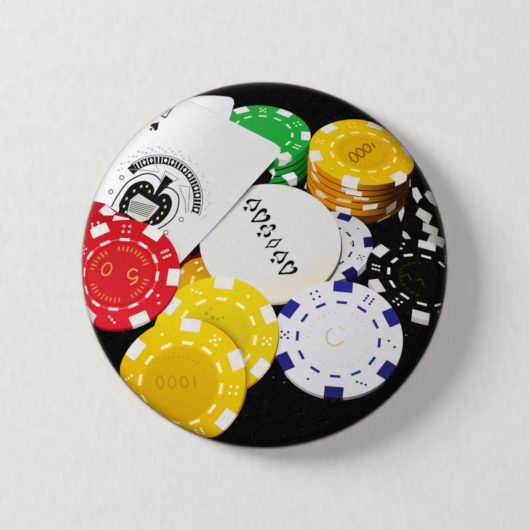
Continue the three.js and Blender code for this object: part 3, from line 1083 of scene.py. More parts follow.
edge_use = {}
for face in sheet_faces:
    for a, b in zip(face, face[1:] + face[:1]):
        edge_use[frozenset((a, b))] = edge_use.get(frozenset((a, b)), 0) + 1
rim_points = {v for edge, uses in edge_use.items() if uses == 1 for v in edge}
rim_order = sorted(rim_points, key=lambda v: math.atan2(sheet_vertices[v][2], sheet_vertices[v][0]))
rim_turns = [math.atan2(sheet_vertices[v][2], sheet_vertices[v][0]) for v in rim_order]

UNDERSIDE_SPACING = 1.2
underside = pressed_line(PAPER_DEPTH + PAPER_THICKNESS, UNDERSIDE_SPACING)[::-1]
last_ring = rim_order
for r, y, lean in underside[:-1]:
    ring = list(range(len(sheet_vertices), len(sheet_vertices) + len(rim_turns)))
    for a in rim_turns:
        sheet_vertices.append((r * math.cos(a), y, r * math.sin(a)))
        sheet_facings.append((-math.sin(lean) * math.cos(a), math.cos(lean), -math.sin(lean) * math.sin(a)))
    for k in range(len(ring)):
        n = (k + 1) % len(ring)
        sheet_faces.append((last_ring[k], last_ring[n], ring[n], ring[k]))
    last_ring = ring
hub = len(sheet_vertices)
sheet_vertices.append((0.0, underside[-1][1], 0.0))
sheet_facings.append((0.0, 1.0, 0.0))
for k in range(len(last_ring)):
    sheet_faces.append((last_ring[k], last_ring[(k + 1) % len(last_ring)], hub))
print("sheet faces:", len(sheet_faces))

# %% [markdown]
# Each corner of a tile gets the ink of its own shape, so two inks meet in a clean line.
# The normals come from the section itself, so the small tiles leave no facets.

# %% Build the printed sheet and ink each tile
sheet_mesh = bpy.data.meshes.new("printed_sheet_mosaic")
sheet_mesh.from_pydata([tuple(c * MM for c in v) for v in sheet_vertices], [], sheet_faces)
sheet_mesh.shade_smooth()
PAPER_BACK = ink(196, 194, 188)


def inked(top, x, z):
    """The colour of a place on one shape, darkened by what was cast over it."""
    tone = layers[top][1]
    colour = tone(x, z) if callable(tone) else tone
    for laid_before, shade in shade_falls:
        if top < laid_before:
            factor = shade(x, z)
            colour = tuple(c * factor for c in colour)
    return (*colour, 1.0)


known = {}
ink_values = []
for face, top in tiles:
    for v in face:
        if (v, top) not in known:
            known[v, top] = inked(top, *cut_points[v])
        ink_values.extend(known[v, top])
plain_corners = sum(len(face) for face in sheet_faces[len(tiles):])
ink_values.extend((*PAPER_BACK, 1.0) * plain_corners)
inks = sheet_mesh.color_attributes.new("inks", "FLOAT_COLOR", "CORNER")
inks.data.foreach_set("color", ink_values)
sheet_mesh.normals_split_custom_set_from_vertices(sheet_facings)
printed_sheet = bpy.data.objects.new("printed_sheet_mosaic", sheet_mesh)
scene.collection.objects.link(printed_sheet)
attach(printed_sheet, "badge")
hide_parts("printed_sheet")
print("printed sheet faces:", len(sheet_mesh.polygons))

# %% [markdown]
# ## Back plate
# The back is one disc of tin, dished so that the pin lies below the rim, with a flange trapped under
# the shell's curl. The press leaves small bend radii, so the section's corners are rounded here.
# Two straps and a catch are pushed out of it and leave windows. A boolean cuts those cleanly.

# %% Back plate pressing
BACK_TIN = 0.3
PLATE_Y = -2.15
RING_Y = -0.5
PLATE_RADIUS = 20.8
RING_INNER = 22.0
CLAMP_GAP = 0.15
WALL_RADIUS = TUCK_R - TUCK_RADIUS - CLAMP_GAP
FLANGE_Y = -2.1
FLANGE_RADIUS = 27.1
WIRE_RADIUS = 0.45
WIRE_FIT = 0.3
WIRE_Y = PLATE_Y + WIRE_FIT + WIRE_RADIUS
ARM_Z = 9.5
BEND_RADIUS = 2.6
TAIL_Z = ARM_Z - 2 * BEND_RADIUS
SLOPE_SET_OUT = 0.1
PRESS_BEND = 0.45
LONGEST_CUT = 0.45


def rounded_corners(points, radius, steps=5):
    """An open line whose inner corners are replaced by bends of about the given radius."""
    line = [points[0]]
    for before, corner, after in zip(points, points[1:], points[2:]):
        c = Vector(corner)
        back = Vector(before) - c
        on = Vector(after) - c
        cut = min(radius, back.length * LONGEST_CUT, on.length * LONGEST_CUT)
        start = c + back.normalized() * cut
        end = c + on.normalized() * cut
        for s in range(steps + 1):
            t = s / steps
            line.append(tuple(start * (1 - t) ** 2 + c * 2 * t * (1 - t) + end * t * t))
    return line + [points[-1]]


rear_line = [
    (0.0, PLATE_Y),
    (PLATE_RADIUS, PLATE_Y),
    (RING_INNER, RING_Y),
    (WALL_RADIUS, RING_Y),
    (WALL_RADIUS, FLANGE_Y),
    (FLANGE_RADIUS, FLANGE_Y),
]
hidden_line = [
    (0.0, PLATE_Y - BACK_TIN),
    (PLATE_RADIUS + SLOPE_SET_OUT, PLATE_Y - BACK_TIN),
    (RING_INNER + SLOPE_SET_OUT, RING_Y - BACK_TIN),
    (WALL_RADIUS - BACK_TIN, RING_Y - BACK_TIN),
    (WALL_RADIUS - BACK_TIN, FLANGE_Y - BACK_TIN),
    (FLANGE_RADIUS, FLANGE_Y - BACK_TIN),
]
rear_face = rounded_corners(rear_line, PRESS_BEND)
hidden_face = rounded_corners(hidden_line, PRESS_BEND)
back_plate = finish_mesh("back_plate_pressing", *spun(hidden_face + rear_face[::-1]))
print("back plate faces before the windows:", len(back_plate.data.polygons))

# %% [markdown]
# The press leaves a window behind each strap and behind the catch, a little longer than the tin it took.

# %% Windows where the straps and the catch were pushed out
STRAP_WIDTH = 3.2
STRAP_X = (-11.2, -1.6)
STRAP_SPREAD = 0.8
CATCH_X = 13.6
CATCH_WIDTH = 3.4
CATCH_WINDOW_SHIFT = 0.4
CATCH_WINDOW_MARGIN = 0.7
CATCH_WINDOW_Z = ARM_Z + CATCH_WINDOW_SHIFT
CATCH_WINDOW_HALF = WIRE_RADIUS + CATCH_WINDOW_MARGIN
WINDOW_CORNER = 0.3
CORNER_STEPS = 4
CUTTER_REACH = 3 * BACK_TIN


def rounded_block(name, x, z, half_x, half_z):
    """A cutter with rounded corners that passes right through the plate."""
    outline = []
    for sx, sz, first in ((1, 1, 0), (-1, 1, 90), (-1, -1, 180), (1, -1, 270)):
        for s in range(CORNER_STEPS + 1):
            a = math.radians(first + 90 * s / CORNER_STEPS)
            cx = x + sx * (half_x - WINDOW_CORNER)
            cz = z + sz * (half_z - WINDOW_CORNER)
            outline.append((cx + WINDOW_CORNER * math.cos(a), cz + WINDOW_CORNER * math.sin(a)))
    count = len(outline)
    front = [(u, PLATE_Y - CUTTER_REACH, v) for u, v in outline]
    rear = [(u, PLATE_Y + CUTTER_REACH, v) for u, v in outline]
    faces = [tuple(range(count)), tuple(range(2 * count - 1, count - 1, -1))]
    for k in range(count):
        n = (k + 1) % count
        faces.append((k, k + count, n + count, n))
    return finish_mesh(name, front + rear, faces)


def apply_modifiers(piece):
    """Replaces a piece's mesh by the one its modifiers make."""
    shown = piece.evaluated_get(bpy.context.evaluated_depsgraph_get())
    made = bpy.data.meshes.new_from_object(shown)
    piece.modifiers.clear()
    piece.data = made
    return piece


STRAP_WINDOW_HALF = WIRE_RADIUS + WIRE_FIT + STRAP_SPREAD
windows = [(x, TAIL_Z, STRAP_WIDTH / 2, STRAP_WINDOW_HALF) for x in STRAP_X]
windows.append((CATCH_X, CATCH_WINDOW_Z, CATCH_WIDTH / 2, CATCH_WINDOW_HALF))
for number, (x, z, half_x, half_z) in enumerate(windows):
    cutter = rounded_block(f"window_{number}", x, z, half_x, half_z)
    cut = back_plate.modifiers.new(f"window_{number}", "BOOLEAN")
    cut.operation = "DIFFERENCE"
    cut.solver = "EXACT"
    cut.object = cutter
apply_modifiers(back_plate)
for number in range(len(windows)):
    bpy.data.objects.remove(bpy.data.objects[f"window_{number}"])
back_plate.data.shade_smooth()
back_plate.data.set_sharp_from_angle(angle=math.radians(35))
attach(back_plate, "badge")
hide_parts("back_plate")
print("back plate faces after cutting:", len(back_plate.data.polygons))

# %% [markdown]
# ## Straps and catch
# Each is a strip of the same tin, bent in the press. A strip is a bent line given a thickness and a
# width, with its sharp cut edges broken a little so that they catch the light.

# %% Bent strips
EDGE_BREAK = 0.05
STRAP_BEND = 0.4
CATCH_BEND = 0.35
CATCH_HEADROOM = 0.4
CATCH_REACH = 0.55


def bent_strip(name, line, from_x, width, bend_radius):
    """A strip of tin: a line of (z, y) points, rounded, thickened and drawn out along x."""
    smooth = rounded_corners(line, bend_radius)
    outline = stroke(smooth, BACK_TIN)
    count = len(outline)
    near = [(from_x, y, z) for z, y in outline]
    far = [(from_x + width, y, z) for z, y in outline]
    faces = []
    half = count // 2
    for side, flip in ((0, False), (count, True)):
        for k in range(half - 1):
            quad = (side + k, side + k + 1, side + count - 2 - k, side + count - 1 - k)
            faces.append(quad[::-1] if flip else quad)
    for k in range(count):
        n = (k + 1) % count
        faces.append((k, k + count, n + count, n))
    piece = finish_mesh(name, near + far, faces)
    edit = bmesh.new()
    edit.from_mesh(piece.data)
    bmesh.ops.recalc_face_normals(edit, faces=edit.faces)
    edit.to_mesh(piece.data)
    edit.free()
    broken = piece.modifiers.new("broken_edges", "BEVEL")
    broken.width = EDGE_BREAK * MM
    broken.segments = 2
    broken.limit_method = "ANGLE"
    broken.angle_limit = math.radians(50)
    apply_modifiers(piece)
    piece.data.shade_smooth()
    piece.data.set_sharp_from_angle(angle=math.radians(40))
    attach(piece, "badge")
    return piece


half_tin = BACK_TIN / 2
strap_top = WIRE_Y + WIRE_RADIUS + WIRE_FIT + half_tin
strap_side = WIRE_RADIUS + WIRE_FIT + half_tin
strap_foot = PLATE_Y - half_tin
strap_line = [
    (TAIL_Z - strap_side - STRAP_SPREAD, strap_foot),
    (TAIL_Z - strap_side, strap_top),
    (TAIL_Z + strap_side, strap_top),
    (TAIL_Z + strap_side + STRAP_SPREAD, strap_foot),
]
straps = [
    bent_strip(f"strap_{number}", strap_line, x - STRAP_WIDTH / 2, STRAP_WIDTH, STRAP_BEND)
    for number, x in enumerate(STRAP_X, 1)
]
catch_z = ARM_Z - WIRE_RADIUS - WIRE_FIT - half_tin
catch_y = WIRE_Y + WIRE_RADIUS + CATCH_HEADROOM + half_tin
catch_line = [(catch_z, strap_foot), (catch_z, catch_y), (ARM_Z + CATCH_REACH, catch_y)]
catch = bent_strip("catch", catch_line, CATCH_X - CATCH_WIDTH / 2, CATCH_WIDTH, CATCH_BEND)

# %% [markdown]
# ## Spring-wire pin
# The pin is one piece of spring wire: a tail under the straps, a hairpin bend and a long arm with a
# ground point. It opens by springing at the bend. The mesh is one sweep, from the cut end of the tail to the
# point.

# %% Wire
ARM_START_X = -15.2
ARM_LENGTH = 32.0
TAIL_LENGTH = 20.0
WIRE_SIDES = 24
POINT_TAPER = 5.5
CUT_END = ((0.0, 0.3), (0.05, 0.41), (0.18, WIRE_RADIUS))
TAIL_STEPS = 16
BEND_STEPS = 32
ARM_STEPS = 20
POINT_STEPS = 12
POINT_FULLNESS = 1.6
POINT_BLUNT = 0.012


def wire_stations():
    """Stations (x, z, radius) along the wire, from the cut end of the tail to the point."""
    stations = []
    tail_end = ARM_START_X + TAIL_LENGTH
    for from_end, radius in CUT_END:
        stations.append((tail_end - from_end, TAIL_Z, radius))
    for i in range(1, TAIL_STEPS):
        stations.append((tail_end - TAIL_LENGTH * i / TAIL_STEPS, TAIL_Z, WIRE_RADIUS))
    for i in range(BEND_STEPS + 1):
        a = -math.pi / 2 - math.pi * i / BEND_STEPS
        x = ARM_START_X + BEND_RADIUS * math.cos(a)
        stations.append((x, ARM_Z - BEND_RADIUS + BEND_RADIUS * math.sin(a), WIRE_RADIUS))
    straight = ARM_LENGTH - POINT_TAPER
    for i in range(1, ARM_STEPS + 1):
        stations.append((ARM_START_X + straight * i / ARM_STEPS, ARM_Z, WIRE_RADIUS))
    for i in range(1, POINT_STEPS + 1):
        t = i / POINT_STEPS
        radius = WIRE_RADIUS * math.sqrt(max(0.0, 1 - t**POINT_FULLNESS)) + POINT_BLUNT
        stations.append((ARM_START_X + straight + POINT_TAPER * t, ARM_Z, radius))
    return stations


stations = wire_stations()
wire_vertices = []
for i, (x, z, radius) in enumerate(stations):
    before = stations[max(i - 1, 0)]
    after = stations[min(i + 1, len(stations) - 1)]
    ahead = Vector((after[0] - before[0], 0, after[1] - before[1])).normalized()
    aside = Vector((0, 1, 0)).cross(ahead)
    for k in range(WIRE_SIDES):
        a = 2 * math.pi * k / WIRE_SIDES
        point = Vector((x, WIRE_Y, z)) + aside * radius * math.cos(a) + Vector((0, radius * math.sin(a), 0))
        wire_vertices.append(tuple(point))
wire_faces = [tuple(range(WIRE_SIDES))]
for i in range(len(stations) - 1):
    for k in range(WIRE_SIDES):
        n = (k + 1) % WIRE_SIDES
        low, high = i * WIRE_SIDES, (i + 1) * WIRE_SIDES
        wire_faces.append((low + k, high + k, high + n, low + n))
last = (len(stations) - 1) * WIRE_SIDES
wire_faces.append(tuple(range(last + WIRE_SIDES - 1, last - 1, -1)))
spring_pin = finish_mesh("spring_pin", wire_vertices, wire_faces)
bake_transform(spring_pin)
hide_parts("pin_anchor", "pin_arm")
print("wire stations:", len(stations))

# %% [markdown]
# ## Shared finishes
# Printed paper, film, tin and wire all show fine marks. The marks are made by two small node groups:
# one for specks, and one for fine scratches in a chosen direction. Each material sets its own values.

# %% Helpers for node trees
def add(tree, kind, **settings):
    """Adds a node and sets its properties."""
    made = tree.nodes.new(kind)
    for name, value in settings.items():
        setattr(made, name, value)
    return made


def join(tree, start, end):
    """Links one socket to another."""
    tree.links.new(start, end)


def new_group(name, inputs, outputs):
    """A node group with named sockets. Returns the tree with its own input and output nodes."""
    tree = bpy.data.node_groups.new(name, "ShaderNodeTree")
    for socket_name, kind, value in inputs:
        socket = tree.interface.new_socket(socket_name, in_out="INPUT", socket_type=kind)
        socket.default_value = value
    for socket_name, kind in outputs:
        tree.interface.new_socket(socket_name, in_out="OUTPUT", socket_type=kind)
    return tree, tree.nodes.new("NodeGroupInput"), tree.nodes.new("NodeGroupOutput")


def sum_up(tree, operation, first, second):
    """A Math node. Each operand is a number or a socket."""
    made = add(tree, "ShaderNodeMath", operation=operation)
    for slot_number, value in enumerate((first, second)):
        if isinstance(value, (int, float)):
            made.inputs[slot_number].default_value = value
        else:
            join(tree, value, made.inputs[slot_number])
    return made.outputs[0]


FLOAT = "NodeSocketFloat"
VECTOR = "NodeSocketVector"

# %% [markdown]
# The first group is one noise cut off high, which leaves small soft spots: grain, fluff or dust.

# %% Speck group: small soft spots, as in print grain, felt fluff and dust
speck_group, speck_in, speck_out = new_group(
    "specks",
    [("Place", VECTOR, (0, 0, 0)), ("Size mm", FLOAT, 0.3), ("Sparse", FLOAT, 0.6), ("Soft", FLOAT, 0.1)],
    [("Mask", FLOAT)],
)
speck_scale = sum_up(speck_group, "DIVIDE", 1 / MM, speck_in.outputs["Size mm"])
speck_noise = add(speck_group, "ShaderNodeTexNoise")
speck_noise.inputs["Detail"].default_value = 2.0
join(speck_group, speck_in.outputs["Place"], speck_noise.inputs["Vector"])
join(speck_group, speck_scale, speck_noise.inputs["Scale"])
speck_range = add(speck_group, "ShaderNodeMapRange", interpolation_type="SMOOTHSTEP")
join(speck_group, speck_noise.outputs["Fac"], speck_range.inputs["Value"])
join(speck_group, speck_in.outputs["Sparse"], speck_range.inputs["From Min"])
join(
    speck_group,
    sum_up(speck_group, "ADD", speck_in.outputs["Sparse"], speck_in.outputs["Soft"]),
    speck_range.inputs["From Max"],
)
join(speck_group, speck_range.outputs["Result"], speck_out.inputs["Mask"])

# %% [markdown]
# The second group is noise squeezed along one axis, which reads as rolling or brushing lines.

# %% Scratch group: fine lines drawn out along one direction
scratch_group, scratch_in, scratch_out = new_group(
    "fine_scratches",
    [("Place", VECTOR, (0, 0, 0)), ("Stretch", VECTOR, (1, 1, 1)), ("Fineness", FLOAT, 4000.0)],
    [("Lines", FLOAT)],
)
scratch_place = add(scratch_group, "ShaderNodeVectorMath", operation="MULTIPLY")
join(scratch_group, scratch_in.outputs["Place"], scratch_place.inputs[0])
join(scratch_group, scratch_in.outputs["Stretch"], scratch_place.inputs[1])
scratch_noise = add(scratch_group, "ShaderNodeTexNoise")
scratch_noise.inputs["Detail"].default_value = 3.0
scratch_noise.inputs["Roughness"].default_value = 0.65
join(scratch_group, scratch_place.outputs[0], scratch_noise.inputs["Vector"])
join(scratch_group, scratch_in.outputs["Fineness"], scratch_noise.inputs["Scale"])
join(scratch_group, scratch_noise.outputs["Fac"], scratch_out.inputs["Lines"])
print("groups:", [group.name for group in bpy.data.node_groups])

# %% [markdown]
# ## Printed paper
# Offset print is never quite even: the ink has a fine grain, and the felt in the picture has pale fluff.
# The grain lightens and darkens every ink a little, and the fluff only shows where the ink is dark.

# %% Material basics
def new_material(name):
    """A material with an empty tree, its output and a texture coordinate node."""
    made = bpy.data.materials.new(name)
    made.use_nodes = True
    tree = made.node_tree
    tree.nodes.clear()
    output = tree.nodes.new("ShaderNodeOutputMaterial")
    place = tree.nodes.new("ShaderNodeTexCoord")
    return made, tree, output, place.outputs["Object"]


def place_group(tree, group, place, **values):
    """Puts a shared group in a material with its own values."""
    made = tree.nodes.new("ShaderNodeGroup")
    made.node_tree = group
    join(tree, place, made.inputs["Place"])
    for name, value in values.items():
        made.inputs[name.replace("_", " ")].default_value = value
    return made.outputs[0]


def mix_colour(tree, blend_type, factor, first, second):
    """A colour Mix node. Each of the three is a value or a socket."""
    made = add(tree, "ShaderNodeMix", data_type="RGBA", blend_type=blend_type)
    for name, kind, value in (("Factor", "VALUE", factor), ("A", "RGBA", first), ("B", "RGBA", second)):
        socket = [s for s in made.inputs if s.name == name and s.type == kind][0]
        if isinstance(value, bpy.types.NodeSocket):
            join(tree, value, socket)
        else:
            socket.default_value = value
    return [s for s in made.outputs if s.type == "RGBA"][0]


# %% [markdown]
# The paper takes its ink from the tiles' colours. Fine grain and a little fluff lie on top of it.

# %% Printed paper
paper, paper_tree, paper_output, paper_place = new_material("printed_paper_ink")
paper_shader = add(paper_tree, "ShaderNodeBsdfPrincipled")
paper_shader.inputs["Specular IOR Level"].default_value = 0.05
ink_colour = add(paper_tree, "ShaderNodeVertexColor", layer_name="inks").outputs["Color"]
grain = place_group(paper_tree, scratch_group, paper_place, Fineness=2600.0)
grain_level = add(paper_tree, "ShaderNodeMapRange")
join(paper_tree, grain, grain_level.inputs["Value"])
grain_level.inputs["From Min"].default_value = 0.25
grain_level.inputs["From Max"].default_value = 0.75
grain_level.inputs["To Min"].default_value = 0.93
grain_level.inputs["To Max"].default_value = 1.07
grain_grey = add(paper_tree, "ShaderNodeCombineColor")
for channel in ("Red", "Green", "Blue"):
    join(paper_tree, grain_level.outputs["Result"], grain_grey.inputs[channel])
grained = mix_colour(paper_tree, "MULTIPLY", 1.0, ink_colour, grain_grey.outputs["Color"])
fluff = place_group(paper_tree, speck_group, paper_place, Size_mm=0.22, Sparse=0.6, Soft=0.1)
darkness = add(paper_tree, "ShaderNodeRGBToBW")
join(paper_tree, ink_colour, darkness.inputs["Color"])
dark_only = add(paper_tree, "ShaderNodeMapRange", interpolation_type="SMOOTHSTEP")
join(paper_tree, darkness.outputs["Val"], dark_only.inputs["Value"])
dark_only.inputs["From Min"].default_value = 0.0
dark_only.inputs["From Max"].default_value = 0.02
dark_only.inputs["To Min"].default_value = 0.8
dark_only.inputs["To Max"].default_value = 0.0
fluff_share = sum_up(paper_tree, "MULTIPLY", fluff, dark_only.outputs["Result"])
fluffed = mix_colour(paper_tree, "MIX", fluff_share, grained, (0.028, 0.028, 0.032, 1))
join(paper_tree, fluffed, paper_shader.inputs["Base Color"])
paper_rough = add(paper_tree, "ShaderNodeMapRange")
join(paper_tree, grain, paper_rough.inputs["Value"])
paper_rough.inputs["To Min"].default_value = 0.5
paper_rough.inputs["To Max"].default_value = 0.7
join(paper_tree, paper_rough.outputs["Result"], paper_shader.inputs["Roughness"])
join(paper_tree, paper_shader.outputs[0], paper_output.inputs["Surface"])
printed_sheet.data.materials.append(paper)
# The bright cards would throw a glow on the backdrop.
printed_sheet.visible_diffuse = False
print("paper nodes:", len(paper_tree.nodes))

# %% [markdown]
# ## Clear film
# Film this thin bends no light. So it is a mix of plain see-through and gloss, shared out by Fresnel:
# little gloss face on, much at the rim. A soft gloss spreads the studio light as a broad sheen.
# Only the outer face mirrors: light that leaves the film by its inner face passes straight on.
# Handling leaves faint streaks, which change only the roughness.

# %% Clear film
film_material, film_tree, film_output, film_place = new_material("clear_film_gloss")
see_through = add(film_tree, "ShaderNodeBsdfTransparent")
gloss = add(film_tree, "ShaderNodeBsdfPrincipled")
gloss.inputs["Base Color"].default_value = (0.72, 0.72, 0.72, 1)
gloss.inputs["Metallic"].default_value = 1.0
streaks = place_group(film_tree, scratch_group, film_place, Stretch=(1.0, 1.0, 0.25), Fineness=700.0)
film_rough = add(film_tree, "ShaderNodeMapRange")
join(film_tree, streaks, film_rough.inputs["Value"])
film_rough.inputs["From Min"].default_value = 0.3
film_rough.inputs["From Max"].default_value = 0.7
film_rough.inputs["To Min"].default_value = 0.36
film_rough.inputs["To Max"].default_value = 0.44
join(film_tree, film_rough.outputs["Result"], gloss.inputs["Roughness"])
glancing = add(film_tree, "ShaderNodeFresnel")
glancing.inputs["IOR"].default_value = 1.45
inner_face = add(film_tree, "ShaderNodeNewGeometry").outputs["Backfacing"]
outer_face = sum_up(film_tree, "SUBTRACT", 1.0, inner_face)
film_share = sum_up(film_tree, "MULTIPLY", glancing.outputs[0], outer_face)
film_mix = add(film_tree, "ShaderNodeMixShader")
join(film_tree, film_share, film_mix.inputs[0])
join(film_tree, see_through.outputs[0], film_mix.inputs[1])
join(film_tree, gloss.outputs[0], film_mix.inputs[2])
join(film_tree, film_mix.outputs[0], film_output.inputs["Surface"])
film.data.materials.append(film_material)
print("film nodes:", len(film_tree.nodes))

# %% [markdown]
# ## Tin and wire
# Tinplate is a soft, slightly cloudy metal with rolling lines. The back is handled more than the
# front, and it is duller in places. Drawn spring wire is brighter, with lines along its length.

# %% Metals
def metal(name, colour, dull_colour, rough_low, rough_high, stretch, fineness, cloud_mm):
    """A metal with rolling or drawing lines and cloudy dulling."""
    made, tree, output, place = new_material(name)
    shader = add(tree, "ShaderNodeBsdfPrincipled")
    shader.inputs["Metallic"].default_value = 1.0
    lines = place_group(tree, scratch_group, place, Stretch=stretch, Fineness=fineness)
    clouds = place_group(tree, speck_group, place, Size_mm=cloud_mm, Sparse=0.42, Soft=0.25)
    level = add(tree, "ShaderNodeMapRange")
    join(tree, lines, level.inputs["Value"])
    level.inputs["From Min"].default_value = 0.3
    level.inputs["From Max"].default_value = 0.7
    level.inputs["To Min"].default_value = rough_low
    level.inputs["To Max"].default_value = rough_high
    duller = sum_up(tree, "MULTIPLY", clouds, 0.08)
    join(tree, sum_up(tree, "ADD", level.outputs["Result"], duller), shader.inputs["Roughness"])
    join(tree, mix_colour(tree, "MIX", clouds, colour, dull_colour), shader.inputs["Base Color"])
    bump = add(tree, "ShaderNodeBump")
    bump.inputs["Strength"].default_value = 0.25
    bump.inputs["Distance"].default_value = 0.02 * MM
    join(tree, lines, bump.inputs["Height"])
    join(tree, bump.outputs[0], shader.inputs["Normal"])
    join(tree, shader.outputs[0], output.inputs["Surface"])
    return made


front_tin = metal(
    "front_tinplate",
    colour=(0.62, 0.63, 0.65, 1),
    dull_colour=(0.52, 0.52, 0.53, 1),
    rough_low=0.3,
    rough_high=0.42,
    stretch=(0.1, 1, 1),
    fineness=1500.0,
    cloud_mm=3.0,
)
back_tin = metal(
    "back_tinplate",
    colour=(0.70, 0.71, 0.73, 1),
    dull_colour=(0.58, 0.58, 0.58, 1),
    rough_low=0.26,
    rough_high=0.38,
    stretch=(0.06, 1, 1),
    fineness=2200.0,
    cloud_mm=5.0,
)
pin_wire = metal(
    "drawn_spring_wire",
    colour=(0.74, 0.75, 0.78, 1),
    dull_colour=(0.64, 0.64, 0.66, 1),
    rough_low=0.16,
    rough_high=0.26,
    stretch=(0.05, 1, 1),
    fineness=5000.0,
    cloud_mm=4.0,
)
front_shell.data.materials.append(front_tin)
for piece in (back_plate, *straps, catch):
    piece.data.materials.clear()
    piece.data.materials.append(back_tin)
spring_pin.data.materials.append(pin_wire)
print("materials:", [m.name for m in bpy.data.materials])

# %% [markdown]
# ## Backdrop
# The badge lies on a pale sheet with a faint fibre, just behind its rim. The sheet has one side only:
# its back is see-through, so that the pin can be looked at from behind.

# %% Pale sheet
SHEET_HALF = 0.35
SHEET_Y = 0.25 * MM
wall_mesh = bpy.data.meshes.new("pale_sheet")
wall_corners = [(-SHEET_HALF, SHEET_Y, -SHEET_HALF), (SHEET_HALF, SHEET_Y, -SHEET_HALF),
                (SHEET_HALF, SHEET_Y, SHEET_HALF), (-SHEET_HALF, SHEET_Y, SHEET_HALF)]
wall_mesh.from_pydata(wall_corners, [], [(0, 1, 2, 3)])
wall = bpy.data.objects.new("pale_sheet", wall_mesh)
scene.collection.objects.link(wall)
for ray in ("visible_shadow", "visible_diffuse", "visible_glossy"):
    setattr(wall, ray, False)

wall_material, wall_tree, wall_output, wall_place = new_material("pale_fibre")
wall_shader = add(wall_tree, "ShaderNodeBsdfPrincipled")
wall_shader.inputs["Specular IOR Level"].default_value = 0.0
wall_shader.inputs["Roughness"].default_value = 0.9
fibre = place_group(wall_tree, scratch_group, wall_place, Stretch=(1.0, 1.0, 0.4), Fineness=1300.0)
fibre_level = add(wall_tree, "ShaderNodeMapRange")
join(wall_tree, fibre, fibre_level.inputs["Value"])
fibre_level.inputs["From Min"].default_value = 0.3
fibre_level.inputs["From Max"].default_value = 0.7
wall_colour = mix_colour(
    wall_tree, "MIX", fibre_level.outputs["Result"], (0.81, 0.795, 0.772, 1), (0.875, 0.858, 0.833, 1)
)
join(wall_tree, wall_colour, wall_shader.inputs["Base Color"])
wall_back = add(wall_tree, "ShaderNodeBsdfTransparent")
wall_mix = add(wall_tree, "ShaderNodeMixShader")
backfacing = add(wall_tree, "ShaderNodeNewGeometry").outputs["Backfacing"]
join(wall_tree, backfacing, wall_mix.inputs[0])
join(wall_tree, wall_shader.outputs[0], wall_mix.inputs[1])
join(wall_tree, wall_back.outputs[0], wall_mix.inputs[2])
join(wall_tree, wall_mix.outputs[0], wall_output.inputs["Surface"])
wall_mesh.materials.append(wall_material)
print("sheet nodes:", len(wall_tree.nodes))

# %% [markdown]
# ## Light
# A soft light from the left, low over the sheet, throws the broad shadow to the right. A gentle one
# from the front fills the shadow in. A large one lights the print alone and evenly. All three are
# hidden from gloss, so the black stays black. Two more, behind, are for the metal of the back.
# The world around is pale from above and behind, for the rim and the tin to mirror.

# %% Lamps
def soft_light(name, direction, away, size, power, mirrored=True):
    """A square light that looks at the badge from a direction."""
    data = bpy.data.lights.new(name, "AREA")
    data.shape = "SQUARE"
    data.size = size
    data.energy = power
    lamp = bpy.data.objects.new(name, data)
    lamp.location = Vector(direction).normalized() * away
    lamp.rotation_euler = (-lamp.location).to_track_quat("-Z", "Y").to_euler()
    lamp.visible_glossy = mirrored
    scene.collection.objects.link(lamp)
    return lamp


metal_pieces = (front_shell, back_plate, *straps, catch, spring_pin)


def light_only(lamp, *pieces):
    """Keeps a light to some pieces. The others still throw their shadows in it."""
    lit = bpy.data.collections.new(lamp.name + "_pieces")
    for piece in pieces:
        lit.objects.link(piece)
    lamp.light_linking.receiver_collection = lit


left_window = soft_light("left_window", (-0.82, -0.4, 0.405), 0.9, 0.28, 9.0, mirrored=False)
light_only(left_window, wall, film, *metal_pieces)
soft_light("front_fill", (0.0, -1.0, 0.1), 0.9, 0.16, 3.35, mirrored=False)
print_light = soft_light("print_light", (-0.6, -0.85, 0.14), 0.7, 1.6, 10.4, mirrored=False)
light_only(print_light, printed_sheet)
light_only(soft_light("behind_left", (-0.5, 0.8, 0.5), 0.6, 0.35, 1.6), printed_sheet, *metal_pieces)
light_only(soft_light("behind_right", (0.7, 0.7, 0.2), 0.6, 0.3, 0.9), printed_sheet, *metal_pieces)

# %% [markdown]
# The room is a soft gradient instead of a picture of a studio. It is brightest above left and behind,
# where the rolled rim and the tin face it. Looked at directly it is an even pale grey.

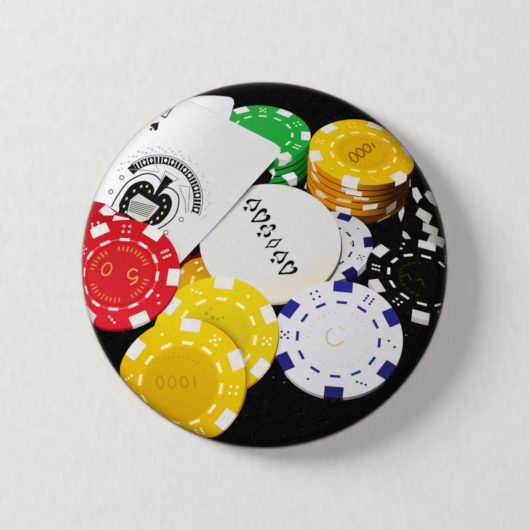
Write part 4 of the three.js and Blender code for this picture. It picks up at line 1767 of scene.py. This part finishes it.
# %% World
world = bpy.data.worlds.new("pale_room")
scene.world = world
world.use_nodes = True
room = world.node_tree
room.nodes.clear()
room_output = room.nodes.new("ShaderNodeOutputWorld")
room_light = add(room, "ShaderNodeBackground")
room_way = add(room, "ShaderNodeTexCoord").outputs["Generated"]
above_left = add(room, "ShaderNodeVectorMath", operation="DOT_PRODUCT")
join(room, room_way, above_left.inputs[0])
above_left.inputs[1].default_value = (-0.62, 0.25, 0.74)
above_level = add(room, "ShaderNodeMapRange", interpolation_type="SMOOTHSTEP")
join(room, above_left.outputs["Value"], above_level.inputs["Value"])
above_level.inputs["From Min"].default_value = 0.45
above_level.inputs["From Max"].default_value = 1.0
above_level.inputs["To Max"].default_value = 0.4
behind = add(room, "ShaderNodeSeparateXYZ")
join(room, room_way, behind.inputs[0])
behind_level = add(room, "ShaderNodeMapRange", interpolation_type="SMOOTHSTEP")
join(room, behind.outputs["Y"], behind_level.inputs["Value"])
behind_level.inputs["From Min"].default_value = 0.3
behind_level.inputs["From Max"].default_value = 0.8
lit_side = add(room, "ShaderNodeMapRange", interpolation_type="SMOOTHSTEP")
join(room, above_left.outputs["Value"], lit_side.inputs["Value"])
lit_side.inputs["From Min"].default_value = 0.1
lit_side.inputs["From Max"].default_value = 0.6
lit_side.inputs["To Min"].default_value = 0.05
behind_lit = sum_up(room, "MULTIPLY", behind_level.outputs["Result"], lit_side.outputs["Result"])
either = sum_up(room, "MAXIMUM", above_level.outputs["Result"], behind_lit)
room_level = add(room, "ShaderNodeMapRange")
join(room, either, room_level.inputs["Value"])
room_level.inputs["To Min"].default_value = 0.02
room_level.inputs["To Max"].default_value = 0.75
seen_directly = add(room, "ShaderNodeLightPath").outputs["Is Camera Ray"]
room_strength = add(room, "ShaderNodeMix", data_type="FLOAT")
join(room, seen_directly, room_strength.inputs[0])
join(room, room_level.outputs["Result"], room_strength.inputs[2])
room_strength.inputs[3].default_value = 0.76
room_light.inputs["Color"].default_value = (1.0, 0.995, 0.975, 1)
join(room, room_strength.outputs[0], room_light.inputs["Strength"])
join(room, room_light.outputs[0], room_output.inputs["Surface"])
print("room nodes:", len(room.nodes))
